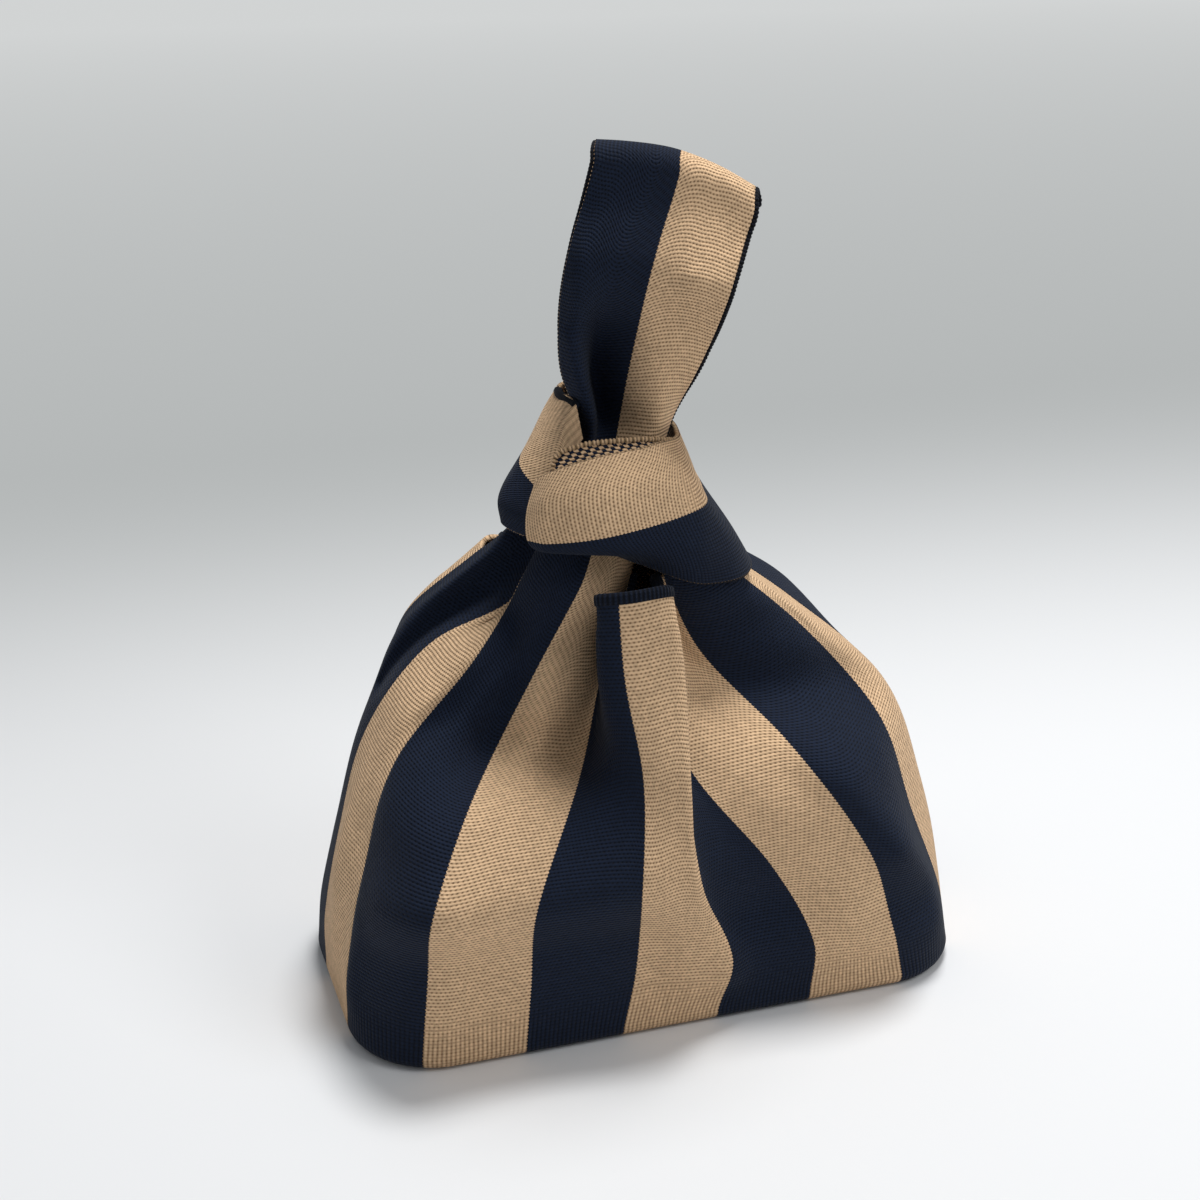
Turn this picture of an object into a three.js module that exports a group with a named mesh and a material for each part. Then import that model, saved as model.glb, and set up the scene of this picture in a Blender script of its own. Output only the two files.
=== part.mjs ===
// A knitted knot bag, tied shut and standing: a striped double-knit pouch on a flat base, with a long
// strap loop pulled up through a short one that wraps round it as the knot.
// Millimetres, +Z up. X runs across the front to the right, the front faces -Y, and the origin is on
// the ground under the middle of the bag.

import * as THREE from 'three';

// Driving dimensions of the bag body
const BASE_WIDTH = 172;
const BASE_DEPTH = 88;
const BASE_CORNER = 24;
const ROUND_UNDER = 4;
const HEM_HEIGHT = 120;
const STRIPE_COUNT = 16;
const FABRIC = 1.5;
const FOLD_SOFTNESS = 0.14;
const SEWN_GAP = 0.36;
const LEFT_SEAM = 2;
const RIGHT_SEAM = 10;
const FRONT_MIDDLE = 5.5;
const MIDDLE_OFFSET = -4;
const FRONT_DRAWN_IN = 0.12;

// Hems, seams and selvages
const HEM_DEPTH = 3.2;
const SEAM_ALLOWANCE = 4;
const SEAM_THICKNESS = 1.6;
const SELVAGE = 1.5;

// Knot and straps
const LEG_RISE = 36;
const SHORT_LEG_RISE = 12;
const LOOP_HEIGHT = 72;
const LOOP_FOLD_RADIUS = 5;
const PINCH_GAP = 0.4;
const FREE_EDGE = 1;
const LOOP_FOLD_SKEW = 0.45;
const LOOP_ARCH = 3;
const STRAP_SOFTNESS = 0.05;
const STRAP_GAP = 0.25;

// Sizes that the fold lines below were drawn at
const DRAWN = { width: 172, depth: 88, hem: 120, loop: 72, loopFoot: 156 };

// Heights of the drawn sections of the body below the hem: foot, belly, waist and shoulder
const SECTIONS = [20, 45, 75, 100];

// Fold lines of the body: place round the bag in stripes, then x and y at foot, belly, waist, shoulder
// and hem. Stripe 0 is the navy one at the left back; 2 and 10 are the side seams, 4 to 8 the front
// neckline.
const FOLDS = [
  [0.15, -79, 35, -72, 34, -63.5, 31, -60.5, 21.5, -43, 14],
  [0.5, -83.5, 25.5, -77, 25, -69, 22, -56, 13.5, -38, 9],
  [0.8, -85, 16, -80, 16, -72, 14, -55, 8, -34, 3],
  [1, -85.5, 10.5, -80, 10, -72, 8, -49.5, 5.5, -28, 2.5],
  [1.5, -86, -4, -83, -3, -71, -3, -44, -1, -26, -1],
  [2, -84.5, -18, -79, -17, -69, -13, -46, -10, -31.5, -4.5],
  [2.5, -81.5, -32, -77, -31, -63, -26, -44, -22, -29, -14],
  [3, -69.5, -42.5, -66.5, -42.5, -53, -34, -37, -28, -21, -20],
  [3.5, -57, -44, -54, -46, -40, -36, -26, -29, -12, -19],
  [4, -42.5, -44, -41, -46, -26, -35, -17, -26, -4.5, -12.5],
  [4.4, -31.5, -44, -31, -46.5, -20, -37, -19, -29, -11, -20],
  [4.75, -21.5, -44, -20, -47.5, -15.5, -41, -20.5, -33, -22, -29.5],
  [5, -14, -44, -14, -48, -12.5, -44, -15, -37, -15.5, -33.5],
  [5.5, -1, -45.5, -4.5, -50, -5, -48, -2, -38.5, -2, -34.5],
  [5.75, 6, -45.5, 0, -50, -0.5, -47, 2, -36, 0.5, -32],
  [6, 12.5, -45, 2, -48.5, -1, -43.5, 0, -32.5, -2, -29],
  [6.4, 21, -44, 10, -45.5, -1.5, -39.5, -5, -29.5, -7, -25.5],
  [6.7, 29, -44, 17.5, -44, 0, -36, -3.5, -27, -4, -22.5],
  [7, 36, -44.5, 25, -44.5, 5, -33.5, 2, -25, 0, -21],
  [8, 59, -45, 50, -44, 34, -34, 11, -26, 4, -19],
  [8.5, 73.5, -41, 63.5, -40, 47, -32, 28, -27, 13, -18],
  [9, 81.5, -27, 71.5, -27, 62, -22, 42, -20, 19, -12],
  [9.5, 88.5, -12, 83, -11, 72, -7, 45, -6, 20, -4],
  [10, 89.5, 2, 85.5, 3, 73, 6, 47, 8, 21, 4],
  [10.5, 89, 17.5, 85, 18, 70, 20, 52, 19, 23, 10],
  [11, 84.5, 33, 80, 33, 60, 32, 44, 27, 20, 16],
  [12, 54, 46, 51, 46, 36, 38, 26, 31, 12, 21],
  [13, 20.5, 46, 19, 45, 14, 37, 8, 27, 4, 19],
  [14, -12.5, 46, -12, 45, -8, 37, -8, 27, -8, 19],
  [15, -46, 46, -44, 46, -36, 39, -33, 30, -25, 22],
  [15.85, -72.5, 41.5, -67, 40, -57, 37, -56, 28, -41.5, 18.5],
];

// Legs of the straps inside the knot: place round the bag, then x and y half way up and at the top
const LONG_FRONT_LEG = [
  [2, -21, -1, -11, 5],
  [2.3, -21, -7, -17, -5],
  [2.7, -15, -8, -10.5, 0],
  [3, -11, -8, -6, -2],
  [3.5, -4.5, -11, 2.5, -8],
  [4, 2, -8, 9, -1.5],
];
const LONG_BACK_LEG = [
  [0, -12, 17, 4, 12],
  [0.5, -20, 15, -3, 15],
  [1, -24, 8.5, -9, 14],
  [1.5, -20.5, 6, -13.5, 10],
  [2, -17.5, 2.5, -13.5, 6],
];
const SHORT_LEG = [
  [8, 5, -17, 6, -15],
  [8.5, 12, -16, 12, -14],
  [9, 18, -11, 17, -10],
  [9.5, 17, -4, 16, -4],
  [10, 18, 3, 17, 3],
  [10.5, 20, 9, 19, 9],
  [11, 17, 15, 16, 14],
  [12, 10, 19, 9, 17],
];

// The long strap's loop, left selvage to right: rows up its front, then rows down its back
const STRAP_PLACES = [0, 0.15, 0.35, 0.5, 0.75, 1];
const LOOP_FRONT = [
  [156, [-11, 5], [-17, -5], [-10.5, 0], [-6, -2], [2.5, -8], [9, -1.5]],
  [170, [-14.5, 2.5], [-21, -4], [-11.5, -2], [-4, -7], [5, -10], [13.5, -8.5]],
  [186, [-18, 0], [-21, -5], [-11, -6.5], [-1, -8], [9, -11], [19, -12]],
  [202, [-18, -3], [-15, -6], [-6.5, -7.5], [3, -8.5], [13, -11], [23.7, -12]],
];
const LOOP_BACK = [
  [200, [-12.5, 6], [-11, 9], [-7, 10], [2, 8], [12, 5], [21, 3]],
  [185, [-16, 8], [-14.5, 11], [-9, 14], [-2, 13], [7, 11], [16, 7]],
  [170, [-15, 8], [-14.5, 11.5], [-11, 15], [-6, 16], [2, 15], [10, 11]],
  [156, [-13.5, 6], [-13.5, 10], [-11.5, 12.5], [-9, 14], [-3, 15], [4, 12]],
];
const LOOP_TOP_LEFT = [-11, -1, 227];
const LOOP_TOP_RIGHT = [28.3, -7, 214.6];

// The short strap's wrap, upper selvage to lower: rows from its outer end at the front left, past the
// front, the right and the back, to its inner end under the outer one
const WRAP_PLACES = [0, 0.25, 0.5, 0.75, 1];
const WRAP = [
  [[-28.5, -12, 147.5], [-32, -12, 142.5], [-33.5, -13, 137], [-32.5, -15, 133], [-30, -16, 131.5]],
  [[-25.5, -16.5, 150.5], [-29.5, -19, 143.5], [-30.5, -20, 133.5], [-28.5, -20.5, 130], [-26, -18.5, 130]],
  [[-16, -19, 153], [-17, -24.5, 146], [-18, -27, 134.5], [-17, -25, 129.5], [-16, -20, 128.5]],
  [[-5, -19.5, 154.3], [-3, -24.5, 147], [-3, -26.5, 136.5], [-5, -26, 129], [-6, -21.5, 124.5]],
  [[0.5, -17, 154.6], [5, -21, 148], [8.5, -23, 138], [9.5, -25, 127], [9, -24, 118.5]],
  [[6.5, -12.5, 153.8], [8.5, -16.5, 148], [13, -18, 138], [18.8, -19, 127], [21.8, -20.5, 117.3]],
  [[10.3, -4.5, 152.7], [12, -7, 147.5], [15.5, -9, 138], [23.5, -9.5, 127], [29.2, -9.5, 117]],
  [[11.5, 5, 153.5], [14, 5, 147], [18, 6, 139], [24, 7, 129], [30, 8, 118]],
  [[8.5, 17, 155.5], [11, 20, 149], [15, 21.5, 141], [19, 22.5, 131], [22, 24, 121]],
  [[-3, 21, 160], [-3, 23.5, 152], [-3, 26, 143], [-3, 27, 134], [-2, 27, 125]],
  [[-14, 17, 162.5], [-17, 19.5, 156], [-19, 21.5, 147], [-22, 22, 138], [-23, 21.5, 130]],
  [[-18.7, 7.5, 162.5], [-23.5, 5.5, 155], [-30, 4, 146], [-36, 3, 138], [-35.5, 3, 131]],
  [[-19.2, -4, 158], [-23, -6.5, 152], [-28.3, -8, 142], [-31.8, -8.5, 136], [-30.5, -8, 130]],
  [[-18.7, -9, 153.5], [-22.7, -11, 149], [-25.7, -12, 142], [-26.5, -12, 137], [-25.5, -11.5, 133]],
];

const NAVY = { color: 0x1d2431, roughness: 0.95, metalness: 0 };
const TAN = { color: 0xb99d7c, roughness: 0.95, metalness: 0 };

const acrossScale = BASE_WIDTH / DRAWN.width;
const depthScale = BASE_DEPTH / DRAWN.depth;
const heightScale = HEM_HEIGHT / DRAWN.hem;

// A drawn point of the knot, moved with the body's width, depth and hem
function placed([x, y, z]) {
  return new THREE.Vector3(x * acrossScale, y * depthScale, HEM_HEIGHT + (z - DRAWN.hem));
}

function cubic(p0, p1, m0, m1, t) {
  const t2 = t * t;
  const t3 = t2 * t;
  return p0 * (2 * t3 - 3 * t2 + 1) + m0 * (t3 - 2 * t2 + t) + p1 * (3 * t2 - 2 * t3) + m1 * (t3 - t2);
}

// A smooth curve through points, each read where its own station lies
function throughStations(stations, points, at) {
  let k = 0;
  while (k < stations.length - 2 && at > stations[k + 1]) k += 1;
  const span = stations[k + 1] - stations[k];
  const slope = (i) => {
    const lo = Math.max(0, i - 1);
    const hi = Math.min(points.length - 1, i + 1);
    return points[hi].clone().sub(points[lo]).divideScalar(stations[hi] - stations[lo]);
  };
  const t = (at - stations[k]) / span;
  const [a, b] = [points[k], points[k + 1]];
  const [ma, mb] = [slope(k).multiplyScalar(span), slope(k + 1).multiplyScalar(span)];
  return new THREE.Vector3(
    cubic(a.x, b.x, ma.x, mb.x, t),
    cubic(a.y, b.y, ma.y, mb.y, t),
    cubic(a.z, b.z, ma.z, mb.z, t),
  );
}

// The base outline: a rounded rectangle walked from the left past the front, in stripes. The front
// stripes are drawn in a little and the back ones let out.
function baseOutline(stripe, inset) {
  const radius = BASE_CORNER - inset;
  const flatX = BASE_WIDTH / 2 - BASE_CORNER;
  const flatY = BASE_DEPTH / 2 - BASE_CORNER;
  const arc = (Math.PI / 2) * BASE_CORNER;
  const around = 4 * (flatX + flatY) + 4 * arc;
  const turn = (stripe - FRONT_MIDDLE) / STRIPE_COUNT;
  const share = turn - (FRONT_DRAWN_IN / (2 * Math.PI)) * Math.sin(2 * Math.PI * turn);
  const walked = arc + flatX + MIDDLE_OFFSET + share * around;
  let along = ((walked % around) + around) % around;
  const centres = [[-flatX, -flatY], [flatX, -flatY], [flatX, flatY], [-flatX, flatY]];
  const runs = [2 * flatX, 2 * flatY, 2 * flatX, 2 * flatY];
  let c = 0;
  while (c < 3 && along > arc + runs[c]) {
    along -= arc + runs[c];
    c += 1;
  }
  const turned = Math.min(along, arc) / BASE_CORNER;
  const run = Math.max(0, along - arc) / runs[c];
  const angle = Math.PI + (c * Math.PI) / 2 + turned;
  const [cx, cy] = centres[c];
  const [nx, ny] = centres[(c + 1) % 4];
  const centre = new THREE.Vector2(cx + (nx - cx) * run, cy + (ny - cy) * run);
  return centre.addScaledVector(new THREE.Vector2(Math.cos(angle), Math.sin(angle)), radius);
}

// The base outline at a height of the rounded lower edge, and the outline's full size above it
function lowerEdge(stripe, height) {
  const drop = Math.max(0, ROUND_UNDER - height);
  const inset = drop > ROUND_UNDER ? drop : ROUND_UNDER - Math.sqrt(ROUND_UNDER ** 2 - drop ** 2);
  const { x, y } = baseOutline(stripe, inset);
  return new THREE.Vector3(x, y, Math.max(0, height));
}

// How far one fold line has moved from the base outline at a height
function foldShift([stripe, ...drawn], height) {
  const place = lowerEdge(stripe, ROUND_UNDER);
  const levels = [ROUND_UNDER, ...SECTIONS.map((section) => section * heightScale), HEM_HEIGHT];
  const shifts = [new THREE.Vector3()];
  for (let level = 1; level < levels.length; level += 1) {
    const x = drawn[2 * level - 2] * acrossScale - place.x;
    const y = drawn[2 * level - 1] * depthScale - place.y;
    shifts.push(new THREE.Vector3(x, y, 0));
  }
  return { place, shift: throughStations(levels, shifts, height) };
}

// A smooth line across a row of values, each at its own place. The knots follow the row's real
// spacing, given by its points, and a closed row takes the span of one turn.
function acrossRow(places, points, values, at, closedSpan) {
  const count = points.length;
  const within = closedSpan && at < places[0] ? at + closedSpan : at;
  let k = 0;
  while (k < count - 1 && within > places[k + 1]) k += 1;
  if (!closedSpan) k = Math.min(k, count - 2);
  const end = k + 1 < count ? places[k + 1] : places[0] + closedSpan;
  const t = (within - places[k]) / (end - places[k]);
  const index = (i) => (closedSpan ? (i + count) % count : Math.min(Math.max(i, 0), count - 1));
  const near = [index(k - 1), index(k), index(k + 1), index(k + 2)];
  const knots = [0];
  for (let i = 1; i < 4; i += 1) {
    knots.push(knots[i - 1] + Math.sqrt(points[near[i]].distanceTo(points[near[i - 1]]) + 0.01));
  }
  return throughStations(knots, near.map((i) => values[i]), knots[1] + (knots[2] - knots[1]) * t);
}

// The mean of a value at three neighbouring places, which rounds off a crease
function softened(value, at, reach) {
  const sides = value(at - reach).add(value(at + reach));
  return value(at).multiplyScalar(2).add(sides).divideScalar(4);
}

function bodyPoint(stripe, height) {
  if (height <= ROUND_UNDER) return lowerEdge(stripe, height);
  const row = FOLDS.map((fold) => foldShift(fold, height));
  const points = row.map(({ place, shift }) => place.clone().add(shift));
  const places = FOLDS.map((fold) => fold[0]);
  const shifts = row.map(({ shift }) => shift);
  const moved = (at) => {
    const turn = ((at % STRIPE_COUNT) + STRIPE_COUNT) % STRIPE_COUNT;
    return acrossRow(places, points, shifts, turn, STRIPE_COUNT);
  };
  const place = lowerEdge(stripe, ROUND_UNDER).setZ(height);
  return place.add(softened(moved, stripe, FOLD_SOFTNESS));
}

// A softened point of an open row. The softening dies away at the row's two edges.
function softenedRow(places, row, at, softness) {
  const toEdge = Math.min(at - places[0], places[places.length - 1] - at);
  const reach = Math.max(0, Math.min(softness, toEdge));
  return softened((place) => acrossRow(places, row, row, place), at, reach);
}

// A leg of a strap inside the knot: share 0 is the hem and share 1 its top
function legPoint(leg, rise, stripe, share) {
  const row = leg.map(([place, midX, midY, topX, topY]) => {
    const below = bodyPoint(place, HEM_HEIGHT - rise / 2);
    const foot = bodyPoint(place, HEM_HEIGHT);
    const mid = new THREE.Vector3(midX * acrossScale, midY * depthScale, HEM_HEIGHT + rise / 2);
    const top = new THREE.Vector3(topX * acrossScale, topY * depthScale, HEM_HEIGHT + rise);
    return throughStations([-0.5, 0, 0.5, 1], [below, foot, mid, top], share);
  });
  return softenedRow(leg.map((column) => column[0]), row, stripe, FOLD_SOFTNESS);
}

// A strap drawn as rows of points across it, row after row along it. The place along it counts rows,
// and the curve through them follows their real spacing.
function strapPoint(rows, places, across, along) {
  const middle = Math.floor(places.length / 2);
  const stations = [0];
  for (let i = 1; i < rows.length; i += 1) {
    stations.push(stations[i - 1] + rows[i][middle].distanceTo(rows[i - 1][middle]));
  }
  const k = Math.min(Math.max(Math.floor(along), 0), rows.length - 2);
  const at = stations[k] + (along - k) * (stations[k + 1] - stations[k]);
  const row = places.map((_, j) => throughStations(stations, rows.map((r) => r[j]), at));
  return softenedRow(places, row, across, STRAP_SOFTNESS);
}

// The same surface with its two side edges held off the neighbours by real distances
function heldOff(surface, from, to, [gapFrom, gapTo]) {
  const step = 0.01;
  return (share, along) => {
    const atFrom = surface(from, along).distanceTo(surface(from + step, along)) / step;
    const atTo = surface(to, along).distanceTo(surface(to - step, along)) / step;
    const first = from + gapFrom / atFrom;
    const last = to - gapTo / atTo;
    return surface(first + (last - first) * share, along);
  };
}

// A closed solid from a surface: the face that is drawn, and a second one a thickness behind it
function sheetSolid(surface, acrossPlaces, alongPlaces, thickness) {
  const step = 0.01;
  const [rows, columns] = [alongPlaces.length, acrossPlaces.length];
  const face = [];
  const back = [];
  for (const v of alongPlaces) {
    for (const u of acrossPlaces) {
      const point = surface(u, v);
      const du = surface(u + step, v).sub(surface(u - step, v));
      const dv = surface(u, v + step).sub(surface(u, v - step));
      const normal = du.cross(dv).normalize();
      face.push(point);
      back.push(point.clone().addScaledVector(normal, -thickness));
    }
  }
  const positions = [...face, ...back].flatMap((p) => [p.x, p.y, p.z]);
  const behind = face.length;
  const indices = [];
  const quad = (a, b, c, d) => indices.push(a, b, c, a, c, d);
  for (let j = 0; j < rows - 1; j += 1) {
    for (let i = 0; i < columns - 1; i += 1) {
      const a = j * columns + i;
      const [b, c, d] = [a + 1, a + columns + 1, a + columns];
      quad(a, b, c, d);
      quad(behind + d, behind + c, behind + b, behind + a);
    }
  }
  for (let i = 0; i < columns - 1; i += 1) {
    const top = (rows - 1) * columns + i;
    quad(i, behind + i, behind + i + 1, i + 1);
    quad(top, top + 1, behind + top + 1, behind + top);
  }
  for (let j = 0; j < rows - 1; j += 1) {
    const left = j * columns;
    const right = left + columns - 1;
    quad(left, left + columns, behind + left + columns, behind + left);
    quad(right, behind + right, behind + right + columns, right + columns);
  }
  const geometry = new THREE.BufferGeometry();
  geometry.setAttribute('position', new THREE.Float32BufferAttribute(positions, 3));
  geometry.setIndex(indices);
  return geometry;
}

function evenly(from, to, steps) {
  return Array.from({ length: steps + 1 }, (_, i) => from + ((to - from) * i) / steps);
}

function named(name, geometry, yarn) {
  const mesh = new THREE.Mesh(geometry, new THREE.MeshStandardMaterial(yarn));
  mesh.name = name;
  return mesh;
}

const STRIPE_WIDTH = (2 * (BASE_WIDTH + BASE_DEPTH) - (8 - 2 * Math.PI) * BASE_CORNER) / STRIPE_COUNT;
const MID_GAP = SEWN_GAP / 2;
const SEWN = [MID_GAP, MID_GAP];

// Heights of the rows of a stripe, close together where the fabric rounds under and near the knot
function bodyHeights(top) {
  const rounded = evenly(0, Math.PI / 2, 3).map((turn) => ROUND_UNDER * (1 - Math.cos(turn)));
  const easing = evenly(0, 1, 10).slice(1).map((share) => 1 - (1 - share) ** 1.4);
  return [...rounded, ...easing.map((share) => ROUND_UNDER + (top - ROUND_UNDER) * share)];
}

function isNeckline(stripe) {
  return (stripe >= 4 && stripe < 8) || stripe >= 12;
}

function bodyStripe(stripe) {
  const top = isNeckline(stripe) ? HEM_HEIGHT - HEM_DEPTH - SEWN_GAP : HEM_HEIGHT - SEWN_GAP;
  const yarn = stripe % 2 ? TAN : NAVY;
  const label = String(stripe + 1).padStart(2, '0');
  const steps = stripe >= 4 && stripe < 7 ? 10 : 6;
  const surface = heldOff(bodyPoint, stripe, stripe + 1, SEWN);
  const geometry = sheetSolid(surface, evenly(0, 1, steps), bodyHeights(top), FABRIC);
  return named(`body_stripe_${label}_${yarn === TAN ? 'tan' : 'navy'}`, geometry, yarn);
}

function neckHem(name, from, to, steps) {
  const surface = heldOff(bodyPoint, from, to, SEWN);
  const heights = [HEM_HEIGHT - HEM_DEPTH, HEM_HEIGHT];
  return named(name, sheetSolid(surface, evenly(0, 1, steps), heights, FABRIC), NAVY);
}

// The seam allowance inside the bag, a fin along the inner side of a body seam
function seamFin(name, stripe) {
  const step = 0.01;
  const reach = (away, height) => {
    const point = bodyPoint(stripe, height);
    const across = bodyPoint(stripe + step, height).sub(bodyPoint(stripe - step, height));
    const up = bodyPoint(stripe, height + step).sub(bodyPoint(stripe, height - step));
    const outward = across.clone().cross(up).normalize();
    const sideways = across.normalize().multiplyScalar(SEAM_THICKNESS / 2);
    return point.addScaledVector(outward, -FABRIC - 2 * SEWN_GAP - away).add(sideways);
  };
  const shoulder = SECTIONS[SECTIONS.length - 1] * heightScale;
  const heights = evenly(ROUND_UNDER + SEAM_ALLOWANCE, shoulder, 8);
  return named(name, sheetSolid(reach, [0, SEAM_ALLOWANCE], heights, SEAM_THICKNESS), NAVY);
}

function basePanel() {
  const around = evenly(0, STRIPE_COUNT, STRIPE_COUNT * 6).slice(0, -1);
  const outline = around.map((stripe) => baseOutline(stripe, ROUND_UNDER + SEWN_GAP));
  const settings = { depth: FABRIC, bevelEnabled: false };
  const geometry = new THREE.ExtrudeGeometry(new THREE.Shape(outline), settings);
  return named('base_panel', geometry, NAVY);
}

function strapLeg(name, leg, rise, from, to, yarn) {
  const last = leg[leg.length - 1][0];
  const gaps = [from === leg[0][0] ? FREE_EDGE : MID_GAP, to === last ? FREE_EDGE : MID_GAP];
  const surface = heldOff((stripe, share) => legPoint(leg, rise, stripe, share), from, to, gaps);
  return named(name, sheetSolid(surface, evenly(0, 1, 6), evenly(SEWN_GAP / rise, 1, 6), FABRIC), yarn);
}

function loopRows() {
  const foot = HEM_HEIGHT + DRAWN.loopFoot - DRAWN.hem;
  const tall = LOOP_HEIGHT / DRAWN.loop;
  const lifted = ([x, y, z]) => {
    const height = foot + (z - DRAWN.loopFoot) * tall;
    return new THREE.Vector3(x * acrossScale, y * depthScale, height);
  };
  const row = ([z, ...points]) => points.map(([x, y]) => lifted([x, y, z]));
  const [left, right] = [lifted(LOOP_TOP_LEFT), lifted(LOOP_TOP_RIGHT)];
  const topRow = (back, drop) => STRAP_PLACES.map((place) => {
    const arch = LOOP_ARCH * Math.sin(Math.PI * place);
    const point = left.clone().lerp(right, place);
    return point.add(new THREE.Vector3(LOOP_FOLD_SKEW * back + 0.4 * arch, back, arch - drop));
  });
  const [radius, slant] = [LOOP_FOLD_RADIUS, LOOP_FOLD_RADIUS / Math.SQRT2];
  return [
    ...LOOP_FRONT.map(row),
    topRow(-radius, radius),
    topRow(-slant, radius - slant),
    topRow(0, 0),
    topRow(slant, radius - slant),
    topRow(radius, radius),
    ...LOOP_BACK.map(row),
  ];
}

const SEAM_ROW = LOOP_FRONT.length + 4;
const LAST_ROW = LOOP_FRONT.length + LOOP_BACK.length + 4;
const SELVAGE_SHARE = SELVAGE / (2 * STRIPE_WIDTH);

// A lengthwise piece of a strap, from one share of its width to another
function strapPiece(name, rows, places, [from, to], [first, last], [steps, perRow], yarn) {
  const gaps = [from ? STRAP_GAP : 0, to < 1 ? STRAP_GAP : 0];
  const surface = heldOff((across, along) => strapPoint(rows, places, across, along), from, to, gaps);
  const along = evenly(first, last, Math.max(1, Math.round((last - first) * perRow)));
  return named(name, sheetSolid(surface, evenly(0, 1, steps), along, FABRIC), yarn);
}

function loopPieces() {
  const rows = loopRows();
  const foot = PINCH_GAP / (LOOP_FRONT[1][0] - LOOP_FRONT[0][0]);
  const seam = 0.12;
  const seamGap = SEWN_GAP / LOOP_FOLD_RADIUS;
  const whole = [foot, LAST_ROW - foot];
  const front = [foot, SEAM_ROW - seam];
  const back = [SEAM_ROW + seam, LAST_ROW - foot];
  const join = [SEAM_ROW - seam + seamGap, SEAM_ROW + seam - seamGap];
  const [left, right] = [[SELVAGE_SHARE, 0.5], [0.5, 1 - SELVAGE_SHARE]];
  const piece = (name, across, along, steps, yarn) =>
    strapPiece(name, rows, STRAP_PLACES, across, along, [steps, 3], yarn);
  return [
    piece('long_handle_front_navy', left, front, 5, NAVY),
    piece('long_handle_front_tan', right, front, 5, TAN),
    piece('long_handle_back_tan', left, back, 5, TAN),
    piece('long_handle_back_navy', right, back, 5, NAVY),
    piece('long_handle_joining_seam', [SELVAGE_SHARE, 1 - SELVAGE_SHARE], join, 10, NAVY),
    piece('long_handle_left_selvage', [0, SELVAGE_SHARE], whole, 1, NAVY),
    piece('long_handle_right_selvage', [1 - SELVAGE_SHARE, 1], whole, 1, NAVY),
  ];
}

function wrapPieces() {
  const rows = WRAP.map((row) => row.map(placed));
  const along = [0, WRAP.length - 1];
  const piece = (name, across, steps, yarn) =>
    strapPiece(name, rows, WRAP_PLACES, across, along, [steps, 3], yarn);
  return [
    piece('short_handle_wrap_selvage', [0, SELVAGE_SHARE], 1, TAN),
    piece('short_handle_wrap_tan', [SELVAGE_SHARE, 0.5], 5, TAN),
    piece('short_handle_wrap_navy', [0.5, 1], 5, NAVY),
  ];
}

const bag = new THREE.Group();
bag.add(basePanel());
for (let stripe = 0; stripe < STRIPE_COUNT; stripe += 1) bag.add(bodyStripe(stripe));
bag.add(
  neckHem('front_neck_hem', 4, 8, 36),
  neckHem('back_neck_hem', 12, 16, 24),
  seamFin('left_side_seam', LEFT_SEAM),
  seamFin('right_side_seam', RIGHT_SEAM),
  strapLeg('long_handle_front_leg_navy', LONG_FRONT_LEG, LEG_RISE, 2, 3, NAVY),
  strapLeg('long_handle_front_leg_tan', LONG_FRONT_LEG, LEG_RISE, 3, 4, TAN),
  strapLeg('long_handle_back_leg_tan', LONG_BACK_LEG, LEG_RISE, 1, 2, TAN),
  strapLeg('long_handle_back_leg_navy', LONG_BACK_LEG, LEG_RISE, 0, 1, NAVY),
  strapLeg('short_handle_front_leg_navy', SHORT_LEG, SHORT_LEG_RISE, 8, 9, NAVY),
  strapLeg('short_handle_front_leg_tan', SHORT_LEG, SHORT_LEG_RISE, 9, 10, TAN),
  strapLeg('short_handle_back_leg_navy', SHORT_LEG, SHORT_LEG_RISE, 10, 11, NAVY),
  strapLeg('short_handle_back_leg_tan', SHORT_LEG, SHORT_LEG_RISE, 11, 12, TAN),
  ...loopPieces(),
  ...wrapPieces(),
);

export default bag;
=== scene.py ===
# %% [markdown]
# # A knitted knot bag, tied shut and standing
# This notebook dresses a small knitted bag. The bag is a pouch of vertical navy and tan stripes on a
# flat base. Its long strap loop is pulled up through its short strap loop, which wraps round it as a
# knot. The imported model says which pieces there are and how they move. Each cell below makes one
# piece of cloth or one finish.

import math

import bpy
import numpy as np
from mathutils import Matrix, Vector


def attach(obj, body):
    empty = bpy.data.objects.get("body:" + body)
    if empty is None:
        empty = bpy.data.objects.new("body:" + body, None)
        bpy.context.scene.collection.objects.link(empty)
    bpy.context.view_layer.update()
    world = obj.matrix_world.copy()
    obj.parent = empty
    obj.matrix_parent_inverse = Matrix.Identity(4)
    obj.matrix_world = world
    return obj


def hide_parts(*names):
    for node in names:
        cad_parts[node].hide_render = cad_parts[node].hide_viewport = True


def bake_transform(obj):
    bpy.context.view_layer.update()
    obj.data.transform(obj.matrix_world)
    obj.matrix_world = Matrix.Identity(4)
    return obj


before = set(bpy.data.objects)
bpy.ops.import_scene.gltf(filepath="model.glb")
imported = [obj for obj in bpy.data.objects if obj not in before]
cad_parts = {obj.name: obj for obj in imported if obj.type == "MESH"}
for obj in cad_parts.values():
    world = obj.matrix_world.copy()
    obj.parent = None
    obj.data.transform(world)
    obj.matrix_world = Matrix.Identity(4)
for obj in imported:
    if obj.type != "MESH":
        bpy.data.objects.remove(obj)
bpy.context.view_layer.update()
print("nodes in the packed model:", len(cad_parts))

# %% [markdown]
# ## The camera
# The photograph looks down on the bag from the left of its front. A camera is set by the point it
# looks at, the direction back to it and its distance. The lens follows from how large the bag is in
# the picture.

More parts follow.
